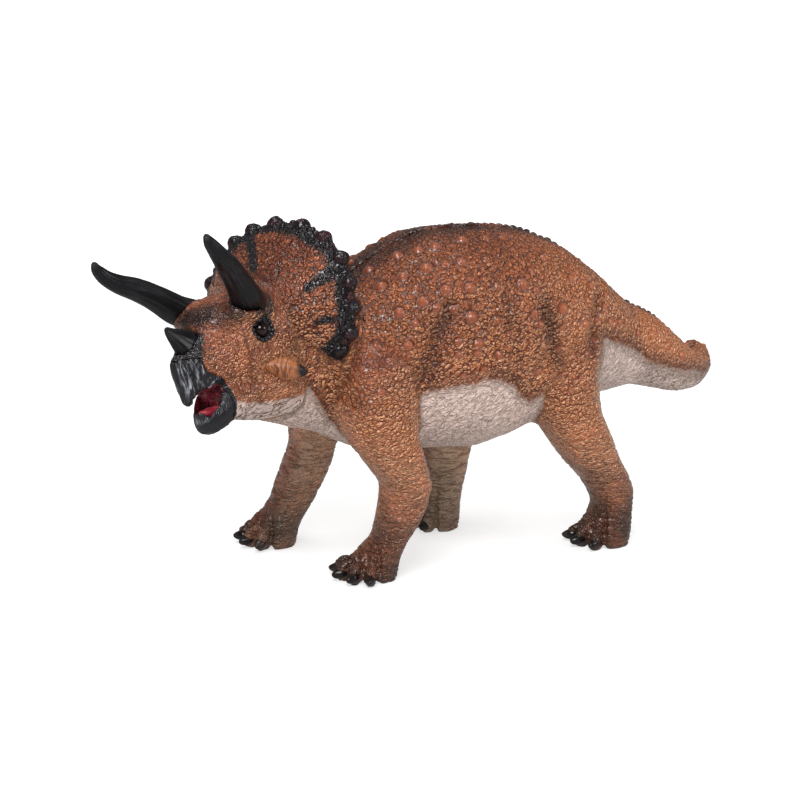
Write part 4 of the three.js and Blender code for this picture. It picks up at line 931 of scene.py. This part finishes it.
def from_head(places):
    """Millimetres of the head's frame to metres of the part's frame."""
    return np.asarray(places, float) @ np.array(head_turn).T * MM + np.array(head_origin)


def closed_form(name, points, faces):
    """A closed form as an object, smooth, with every face turned outwards."""
    made = new_object(name, mesh_of(name, points, faces))
    shape = bmesh.new()
    shape.from_mesh(made.data)
    bmesh.ops.recalc_face_normals(shape, faces=shape.faces)
    shape.to_mesh(made.data)
    shape.free()
    made.data.polygons.foreach_set("use_smooth", [True] * len(faces))
    return made


ball, ball_faces = round_form(28, 32)
tongue_form = ball * TONGUE_HALF
furrow_fade = (ball[:, 2] > 0) * smooth_step(1, 0.6, np.abs(ball[:, 0]))
tongue_form[:, 2] -= TONGUE_FURROW * bell(ball[:, 1] / FURROW_WIDTH) * furrow_fade
tongue_form[:, 2] += TONGUE_LIFT * np.clip(-ball[:, 0], 0, 1) ** 2
tongue = closed_form("tongue_flesh", from_head(tongue_form + TONGUE_PLACE), ball_faces)
tongue_paint, tree, spot = new_material("glossy_pink_paint")
patches = add_node(tree, "TexNoise", Vector=spot, Scale=per(2.5), Detail=3.0)
paint = layered(tree, TONGUE_PINK, (add_node(tree, "MapRange", patches, 0.35, 0.65, **SOFT), TONGUE_RED))
lay_paint(tree, paint, 0.3, patches * (0.3 * MM))
tongue.data.materials.append(tongue_paint)
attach(tongue, "root")
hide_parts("tongue")

# The horns
# The two brow horns and the nose horn are moulded solid and painted satin black, with shallow grooves from root to
# tip, broad flutes on the brow horns, and rounded tips. Each is plugged into its pocket in the head.
HORN_BLACK = "#0e0e11"
HORN_GREY = "#2b2c34"
BROW_HORN_SIZE = np.array([-21.5, 8.6, 19.2])  # reach forward, spread and rise of the right one
BROW_HORN_RADIUS = 4.7
BROW_HORN_ROWS = [  # reach, spread and rise as shares, and the radius as a share
    (0.0, 0.0, 0.0, 0.88), (0.175, 0.245, 0.136, 0.86), (0.364, 0.466, 0.353, 0.74), (0.548, 0.683, 0.53, 0.65),
    (0.72, 0.88, 0.655, 0.54), (0.86, 1.0, 0.785, 0.43), (0.95, 1.035, 0.911, 0.31), (0.98, 1.03, 1.01, 0.14),
]
FLUTES, FLUTE_DEPTH, FLUTE_TWIST = 3, 0.12, 0.06  # depth as a share of the radius, twist in radians a millimetre
NOSE_HORN_ROWS = [  # reach and radius as shares of the snout's length, rise as a share of the head's depth
    (-0.62, -0.08, 0.19), (-0.68, 0.03, 0.2), (-0.79, 0.13, 0.135), (-0.87, 0.2, 0.085), (-0.94, 0.27, 0.04),
]
SNOUT_LENGTH = 24.0
HEAD_DEPTH = 25.0
NOSE_HORN_FLATNESS = 0.5
TIP_ROUNDNESS = 0.8


def curve_through(rows, count):
    """A smooth run of rows through the given ones."""
    rows = np.array(rows, float)
    padded = np.concatenate([[2 * rows[0] - rows[1]], rows, [2 * rows[-1] - rows[-2]]])
    place = np.linspace(0, len(rows) - 1, count)
    at = np.minimum(place.astype(int), len(rows) - 2)
    share = (place - at)[:, None]
    a, b, c, d = [padded[at + step] for step in range(4)]
    bend, twist = 2 * a - 5 * b + 4 * c - d, 3 * b - a - 3 * c + d
    return 0.5 * (2 * b + (c - a) * share + bend * share**2 + twist * share**3)


def horn_form(places, radii, flatness, sides, flute_depth=0.0):
    """A horn through places of the head's frame: points, faces, and how far along and round each point lies."""
    passed = np.concatenate([[0], np.cumsum(np.linalg.norm(np.diff(places, axis=0), axis=1))])
    padded = np.concatenate([places[:1], places, places[-1:]])
    way = padded[2:] - padded[:-2]
    way /= np.linalg.norm(way, axis=1)[:, None]
    other = np.cross(way, (0, 1, 0))
    other /= np.linalg.norm(other, axis=1)[:, None]
    side = np.cross(other, way)
    along, turns = np.meshgrid(passed, 2 * math.pi * np.arange(sides) / sides, indexing="ij")
    fluted = smooth_step(1, 0.75, along / passed[-1]) * (0.5 + 0.5 * np.cos(FLUTES * turns + FLUTE_TWIST * along))
    reach = radii[:, None] * (1 - flute_depth * fluted)
    points = places[:, None] + side[:, None] * (flatness * reach * np.cos(turns))[..., None]
    points = points + other[:, None] * (reach * np.sin(turns))[..., None]
    tip = places[-1] + way[-1] * radii[-1] * TIP_ROUNDNESS
    points = np.concatenate([points.reshape(-1, 3), [places[0], tip]])
    return points, tube_faces(len(places), sides), np.append(along, [0, passed[-1]]), np.append(turns, [0, 0])


horn_paint, tree, spot = new_material("satin_black_horn_paint")
lines_way = add_node(tree, "Attribute", out="Vector", attribute_name="grain")
wear = add_node(tree, "TexNoise", Vector=spot, Scale=per(5.556), Detail=4.0)
fibres = add_node(tree, "TexNoise", Vector=lines_way, Scale=per(0.7143), Detail=2.0)
greyed = add_node(tree, "MapRange", fibres, 0.5, 0.7, 0.0, 0.6, **SOFT)
greyed = greyed * add_node(tree, "MapRange", wear, 0.4, 0.65, 0.1, 1.0, **SOFT)
satin = add_node(tree, "MapRange", wear, 0.3, 0.7, 0.26, 0.4, **SOFT)
lay_paint(tree, layered(tree, HORN_BLACK, (greyed, HORN_GREY)), satin, fibres * (0.12 * MM), Specular_IOR_Level=0.35)


def make_horn(name, form, material, grain_way, spacing, depth, node):
    """A horn's piece, with its grooves run along or round it as grain_way says, in place of its CAD node."""
    points, faces, along, turns = form
    made = closed_form(name, from_head(points), faces)
    store(made.data, "grain", grain_way(along, turns) * MM)
    apply_tree(made, ribs, Levels=1, Groove_spacing=spacing * MM, Groove_depth=depth * MM, Swell=depth * MM / 2,
               Material=material)
    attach(made, "root")
    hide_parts(node)


def lengthwise(along, turns):
    return np.stack([3.2 * np.cos(turns), 3.2 * np.sin(turns), 0.1 * along], axis=1)


rows = curve_through(BROW_HORN_ROWS, 40)
for side_name, side in (("left", -1), ("right", 1)):
    places = (BROW_HORN_ROOT + rows[:, :3] * BROW_HORN_SIZE) * (1, side, 1)
    form = horn_form(places, rows[:, 3] * BROW_HORN_RADIUS, 1.0, 40, FLUTE_DEPTH)
    make_horn(f"fluted_brow_horn_{side_name}", form, horn_paint, lengthwise, 1.5, 0.14, f"brow_horn_{side_name}")
rows = curve_through(NOSE_HORN_ROWS, 24)
places = rows * (SNOUT_LENGTH, HEAD_DEPTH, 0)
form = horn_form(places[:, [0, 2, 1]], rows[:, 2] * SNOUT_LENGTH, NOSE_HORN_FLATNESS, 32)
make_horn("keeled_nose_horn", form, horn_paint, lengthwise, 1.4, 0.12, "nose_horn")

# The cheek spikes
# Short blunt cones of the same PVC stand out of the cheeks, painted ochre, with curved growth rings and a glossy
# black tip.
SPIKE_OCHRE = "#9f6038"
SPIKE_BROWN = "#683920"
SPIKE_ROOT = np.array([-2, 9, -8.4])
SPIKE_TIP = np.array([5.4, 15.2, -13.4])
SPIKE_RADIUS = 2.8
SPIKE_ROWS = [  # how far along, and the radius, as shares
    (0.0, 0.3), (0.15, 0.5), (0.35, 0.86), (0.5, 1.0), (0.66, 0.88), (0.82, 0.62), (0.95, 0.34), (1.0, 0.15),
]
SPIKE_BLACK_FROM, SPIKE_BLACK_TO = 7.4 * MM, 9.4 * MM

spike_paint, tree, spot = new_material("ochre_painted_horn")
lines_way = add_node(tree, "Attribute", out="Vector", attribute_name="grain")
rings = add_node(tree, "TexNoise", Vector=lines_way, Scale=per(0.5), Detail=2.0)
blotch = add_node(tree, "TexNoise", Vector=spot, Scale=per(3.333), Detail=3.0)
tipped = add_node(tree, "SeparateXYZ", lines_way) + (blotch - 0.5) * (3 * MM)
paint = layered(
    tree, SPIKE_OCHRE,
    (add_node(tree, "MapRange", rings, 0.5, 0.62, **SOFT), SPIKE_BROWN),
    (add_node(tree, "MapRange", tipped, SPIKE_BLACK_FROM, SPIKE_BLACK_TO, **SOFT), RIM_BLACK),
)
lay_paint(tree, paint, 0.38, rings * (0.25 * MM))


def ringwise(along, turns):
    return np.stack([along + 0.5 * np.cos(2 * turns), 0.5 * np.cos(turns), 0.5 * np.sin(turns)], axis=1)


rows = curve_through(SPIKE_ROWS, 22)
for side_name, side in (("left", -1), ("right", 1)):
    places = (SPIKE_ROOT + rows[:, :1] * (SPIKE_TIP - SPIKE_ROOT)) * (1, side, 1)
    form = horn_form(places, rows[:, 1] * SPIKE_RADIUS, 1.0, 32)
    make_horn(f"ringed_cheek_spike_{side_name}", form, spike_paint, ringwise, 1.2, 0.16, f"cheek_spike_{side_name}")

# The eyes
# Each eye is a ball set in its socket, painted gloss black over dark brown, in a ring of small raised scales.
EYE_PLACE = np.array([-0.3, 9.7, -0.2])
EYE_RADIUS = 1.9
EYE_SCALES = 15
EYE_RING_RADIUS = 2.75
EYE_BROWN = "#2a1510"
EYE_BLACK = "#050506"

eye_paint, tree, spot = new_material("gloss_black_enamel")
iris = add_node(tree, "TexNoise", Vector=spot, Scale=per(1.6667), Detail=2.0)
browned = add_node(tree, "MapRange", iris, 0.4, 0.6, 0.0, 0.5, **SOFT)
lay_paint(tree, layered(tree, EYE_BLACK, (browned, EYE_BROWN)), 0.05)

on_points, given = new_tree(
    "set_on_points", Shape="Object", Unevenness="Float", Uneven_spacing="Float", Material="Material"
)
turn, size = [
    add_node(on_points, "GeometryNodeInputNamedAttribute", Name=name, data_type="FLOAT_VECTOR")
    for name in ("turn", "size")
]
shape = add_node(on_points, "GeometryNodeObjectInfo", given["Shape"], out="Geometry")
set_on = add_node(on_points, "GeometryNodeInstanceOnPoints", given["Geometry"], Instance=shape,
                  Rotation=add_node(on_points, "FunctionNodeEulerToRotation", turn), Scale=size)
real = add_node(on_points, "GeometryNodeRealizeInstances", set_on)
lumps = add_node(on_points, "TexNoise", Vector=add_node(on_points, "GeometryNodeInputPosition"),
                 Scale=1.0 / given["Uneven spacing"], Detail=2.0)
uneven = raised(on_points, real, (lumps - 0.5) * given["Unevenness"])
end_tree(on_points, add_node(on_points, "GeometryNodeSetShadeSmooth", uneven), given["Material"])


def set_shapes(name, places, turns, sizes, shape, unevenness, spacing, material):
    """One piece of like shapes, each at a place in metres with its own turn and half sizes in metres."""
    mesh = mesh_of(name, places, [])
    store(mesh, "turn", np.array([tuple(turn.to_euler()) for turn in turns]))
    store(mesh, "size", sizes)
    made = new_object(name, mesh)
    apply_tree(made, on_points, Shape=shape, Unevenness=unevenness * MM, Uneven_spacing=spacing * MM,
               Material=material)
    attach(made, "root")
    return made


bead = closed_form("bead", *round_form(8, 10))
bpy.context.view_layer.update()
shuffle = np.random.default_rng(5)
for side_name, side in (("left", -1), ("right", 1)):
    eye_place = EYE_PLACE * (1, side, 1)
    eye = closed_form(f"glossy_eye_{side_name}", from_head(ball * EYE_RADIUS + eye_place), ball_faces)
    eye.data.materials.append(eye_paint)
    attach(eye, "root")
    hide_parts(f"eye_{side_name}")
    places = []
    for turn in 2 * math.pi * np.arange(EYE_SCALES) / EYE_SCALES:
        start = eye_place + (EYE_RING_RADIUS * math.cos(turn), 8 * side, EYE_RING_RADIUS * math.sin(turn))
        hit, place, _, _ = skin_parts["head"].ray_cast(Vector(from_head(start)), head_turn @ Vector((0, -side, 0)))
        if hit:
            places.append(place)
    sizes = [[share * MM] * 3 for share in shuffle.uniform(0.42, 0.62, len(places))]
    eye_scales = set_shapes(f"eye_scales_{side_name}", places, [head_turn] * len(places), sizes, bead, 0.1, 0.5,
                            skin_paint)
    store(eye_scales.data, "rim", np.ones(len(eye_scales.data.vertices)))

# The frill's edge knobs
# Bony knobs stand round the frill's rim, painted gloss black like the rim, uneven as if grown, with small black
# scales between them.
KNOB_RED = "#3b1a1e"
KNOB_HALF = np.array([2.25, 2.05, 1.95])  # through the frill, along its rim, and out from it
KNOB_RIDGE = 0.25  # how much lower the knob's outer side is at its ends
KNOB_TURNS = [  # from the frill's top, in degrees, from its right round to its left
    -138.6, -122.4, -103.5, -83.7, -63.9, -45.9, -28.8, -12.6, 6.3, 27.9, 47.7, 67.5, 86.4, 106.6, 125.6, 139.5,
]
RIM_BACK, RIM_THROUGH, FRILL_DEPTH = 20.7, 0.79, 21  # the rim's place, and its share of the frill's depth

knob_paint, tree, spot = new_material("gloss_black_knob_paint")
grit = add_node(tree, "TexVoronoi", Vector=spot, Scale=per(0.9))
tint = add_node(tree, "TexNoise", Vector=spot, Scale=per(4), Detail=3.0)
reddened = add_node(tree, "MapRange", tint, 0.42, 0.65, 0.0, 0.8, **SOFT)
gloss = add_node(tree, "MapRange", tint, 0.3, 0.7, 0.12, 0.28, **SOFT)
grains = add_node(tree, "MapRange", grit, 0.1, 0.6, 1.0, 0.0, **SOFT)
lay_paint(tree, layered(tree, RIM_BLACK, (reddened, KNOB_RED)), gloss, grains * (0.12 * MM))


def frill_point(angle, size, through):
    """A point of the frill's outline at an angle from its top, as the CAD draws it, in the head's frame."""
    up = math.cos(angle)
    fuller = 1 if up > 0 else 1 + FRILL_FULLNESS * math.sin(2 * angle) ** 2
    rise = size * fuller * (FRILL_UP if up > 0 else FRILL_DOWN) * up
    back = RIM_BACK + (through - RIM_THROUGH) * FRILL_DEPTH + math.tan(FRILL_LEAN) * rise
    return np.array([back, -size * fuller * FRILL_ASIDE * math.sin(angle), FRILL_MIDDLE + rise])


knob_points, knob_faces = round_form(14, 18)
knob_points[:, 2] *= np.where(knob_points[:, 2] > 0, 1 - KNOB_RIDGE * np.abs(knob_points[:, 1]), 1)
knob = closed_form("knob", knob_points, knob_faces)
places, turns, sizes = [], [], []
for turn in KNOB_TURNS:
    angle = math.radians(turn)
    places.append(from_head(frill_point(angle, 0.98, 0.895)))
    turns.append(head_turn @ Matrix.Rotation(FRILL_LEAN, 3, "Y") @ Matrix.Rotation(angle, 3, "X"))
    sizes.append(KNOB_HALF * shuffle.uniform(0.96, 1.08) * MM)
set_shapes("frill_knobs", places, turns, sizes, knob, 0.45, 1.6, knob_paint)
places, turns, sizes = [], [], []
for before, after in zip(KNOB_TURNS[:-1], KNOB_TURNS[1:]):
    for share in (0.4, 0.6):
        angle = math.radians(before + share * (after - before) + shuffle.uniform(-1.2, 1.2))
        places.append(from_head(frill_point(angle, shuffle.uniform(0.945, 0.975), shuffle.uniform(0.82, 0.95))))
        turns.append(head_turn @ Matrix.Rotation(angle, 3, "X"))
        sizes.append(np.full(3, shuffle.uniform(0.8, 1.15) * MM))
set_shapes("frill_rim_scales", places, turns, sizes, bead, 0.2, 0.9, knob_paint)

# The crest scales
# A single row of small upright scales runs down the back and tail, moulded with the skin and painted dark brown.
CREST_SPACING = 2.1
CREST_START = -30.0
CREST_END = 101.0
CREST_HALF = np.array([1.15, 0.6, 0.75])  # along the back, across it and up
ABOVE_ALL = 120  # a height from which the back is looked for

places, sizes = [], []
crest_x = CREST_START
while crest_x < CREST_END:
    small = 1 - 0.45 * smooth_step(60, 95, crest_x)
    start = Vector(np.array([crest_x, np.interp(crest_x, *SPINE_WAY), ABOVE_ALL]) * MM + figure_shift)
    for name in ("torso", "tail"):
        hit, place, _, _ = skin_parts[name].ray_cast(start, Vector((0, 0, -1)))
        if hit:
            places.append(place)
            sizes.append(CREST_HALF * small * shuffle.uniform(0.8, 1.15) * MM)
            break
    crest_x += CREST_SPACING * small
ways = [after - before for before, after in zip(places[:1] + places[:-1], places[1:] + places[-1:])]
turns = [way.to_track_quat("X", "Z").to_matrix() for way in ways]
crest = set_shapes("crest_scales", places, turns, sizes, bead, 0.2, 0.8, skin_paint)
store(crest.data, "shade", np.ones(len(crest.data.vertices)))

# The toenails
# Every toe ends in a broad hoof-like nail, moulded with the foot and painted gloss black.
NAIL_HALF = np.array([2.5, 1.55, 1.5])
NAIL_AHEAD = 2.2  # from the toe's middle to the nail's
NAIL_RISE = 1.9
NAIL_TAPER, NAIL_SLOPE, NAIL_UNDERSIDE = 0.4, 0.35, 0.9
NAIL_BLACK = "#171211"
NAIL_BROWN = "#3b2c26"

nail_points, nail_faces = round_form(12, 16)
nail_points[:, 1] *= 1 + NAIL_TAPER * np.minimum(nail_points[:, 0], 0)
nail_points[:, 2] *= np.where(nail_points[:, 2] < 0, NAIL_UNDERSIDE, 1 + NAIL_SLOPE * nail_points[:, 0])
nail = closed_form("nail", nail_points, nail_faces)
nail_paint, tree, spot = new_material("gloss_black_nail_paint")
tint = add_node(tree, "TexNoise", Vector=spot, Scale=per(2), Detail=3.0)
browned = add_node(tree, "MapRange", tint, 0.45, 0.7, 0.0, 0.8, **SOFT)
gloss = add_node(tree, "MapRange", tint, 0.3, 0.7, 0.14, 0.34, **SOFT)
lay_paint(tree, layered(tree, NAIL_BLACK, (browned, NAIL_BROWN)), gloss)
for foot_name, (foot_x, foot_y, half_length, half_width, toe_angles) in FEET.items():
    side = math.copysign(1, foot_y)
    places, turns = [], []
    for angle in np.radians(toe_angles):
        ahead = (half_length + NAIL_AHEAD) * math.cos(angle)
        across = (half_width + NAIL_AHEAD) * math.sin(angle)
        places.append(np.array([foot_x - ahead, foot_y + side * across, NAIL_RISE]) * MM + figure_shift)
        turns.append(Matrix.Rotation(-side * angle, 3, "Z"))
    set_shapes(foot_name.replace("leg", "toenails"), places, turns, [NAIL_HALF * MM] * len(places), nail, 0.15, 1.2,
               nail_paint)
for used_shape in (bead, knob, nail):
    bpy.data.objects.remove(used_shape)

# Camera, floor and light
# The photograph was taken from ahead of the left side and a little above, on a white ground in soft light.
CAMERA_TARGET = Vector((0, 0, 40.5)) * MM  # in the figure's own frame
CAMERA_DISTANCE = 0.65
CAMERA_AZIMUTH = math.radians(-28)
CAMERA_ELEVATION = math.radians(14)
CAMERA_LENS = 114.1
FLOOR_HALF = 4.0
FLOOR_GREY = 0.85
SKY_LEVEL = 0.5  # the light from all round; the camera sees it at 1, which is white
LAMP_AIM = Vector((0, 0, 0.04))
LAMPS = {  # place, width and power
    "key_softbox": ((-0.55, -0.75, 0.95), 0.6, 11.5),
    "fill_softbox": ((0.8, -0.7, 0.5), 0.4, 2.6),
    "top_softbox": ((0.1, 0.2, 1.1), 0.4, 3.4),
}

camera = new_object("camera", bpy.data.cameras.new("camera"))
camera.data.lens = CAMERA_LENS
camera_back = Vector((
    math.sin(CAMERA_AZIMUTH) * math.cos(CAMERA_ELEVATION),
    -math.cos(CAMERA_AZIMUTH) * math.cos(CAMERA_ELEVATION),
    math.sin(CAMERA_ELEVATION),
))
camera.location = CAMERA_TARGET + Vector(figure_shift) + camera_back * CAMERA_DISTANCE
camera.rotation_euler = camera_back.to_track_quat("Z", "Y").to_euler()
bpy.context.scene.camera = camera
bpy.context.scene.view_settings.view_transform = "Standard"

# To the camera the white board shines by itself, more towards its rim, so that it ends in the white world unseen.
# Reflections see it dimmed, so that the gloss of the paint doesn't grey its dark colours.
floor_corners = [(x * FLOOR_HALF, y * FLOOR_HALF, 0) for x, y in ((-1, -1), (1, -1), (1, 1), (-1, 1))]
floor = new_object("floor", mesh_of("floor", floor_corners, [(0, 1, 2, 3)]))
floor_paint, tree, spot = new_material("matt_white_board")
camera_ray = add_node(tree, "LightPath", out="Is Camera Ray")
glossy_ray = camera_ray.also("Is Glossy Ray")
from_centre = add_node(tree, "VectorMath", spot, operation="LENGTH")
board_glow = add_node(tree, "MapRange", from_centre, 0.15, 0.7, 0.6, 0.95, **SOFT)
board = add_node(tree, "BsdfDiffuse", FLOOR_GREY - (camera_ray * 0.3 + glossy_ray * 0.65))
glow = add_node(tree, "Emission", Strength=camera_ray * board_glow + glossy_ray * 0.2)
add_node(tree, "OutputMaterial", add_node(tree, "AddShader", board, glow))
floor.data.materials.append(floor_paint)

world = bpy.data.worlds.new("studio")
bpy.context.scene.world = world
world.use_nodes = True
tree = world.node_tree
tree.nodes.clear()
camera_ray = add_node(tree, "LightPath", out="Is Camera Ray")
seen = camera_ray | camera_ray.also("Is Transmission Ray")
strength = seen * (1 - SKY_LEVEL) + SKY_LEVEL - camera_ray.also("Is Glossy Ray") * 0.38
add_node(tree, "OutputWorld", add_node(tree, "Background", "#ffffff", strength))

for name, (place, width, power) in LAMPS.items():
    lamp = new_object(name, bpy.data.lights.new(name, "AREA"))
    lamp.data.size = width
    lamp.data.energy = power
    lamp.location = place
    lamp.rotation_euler = (Vector(place) - LAMP_AIM).to_track_quat("Z", "Y").to_euler()
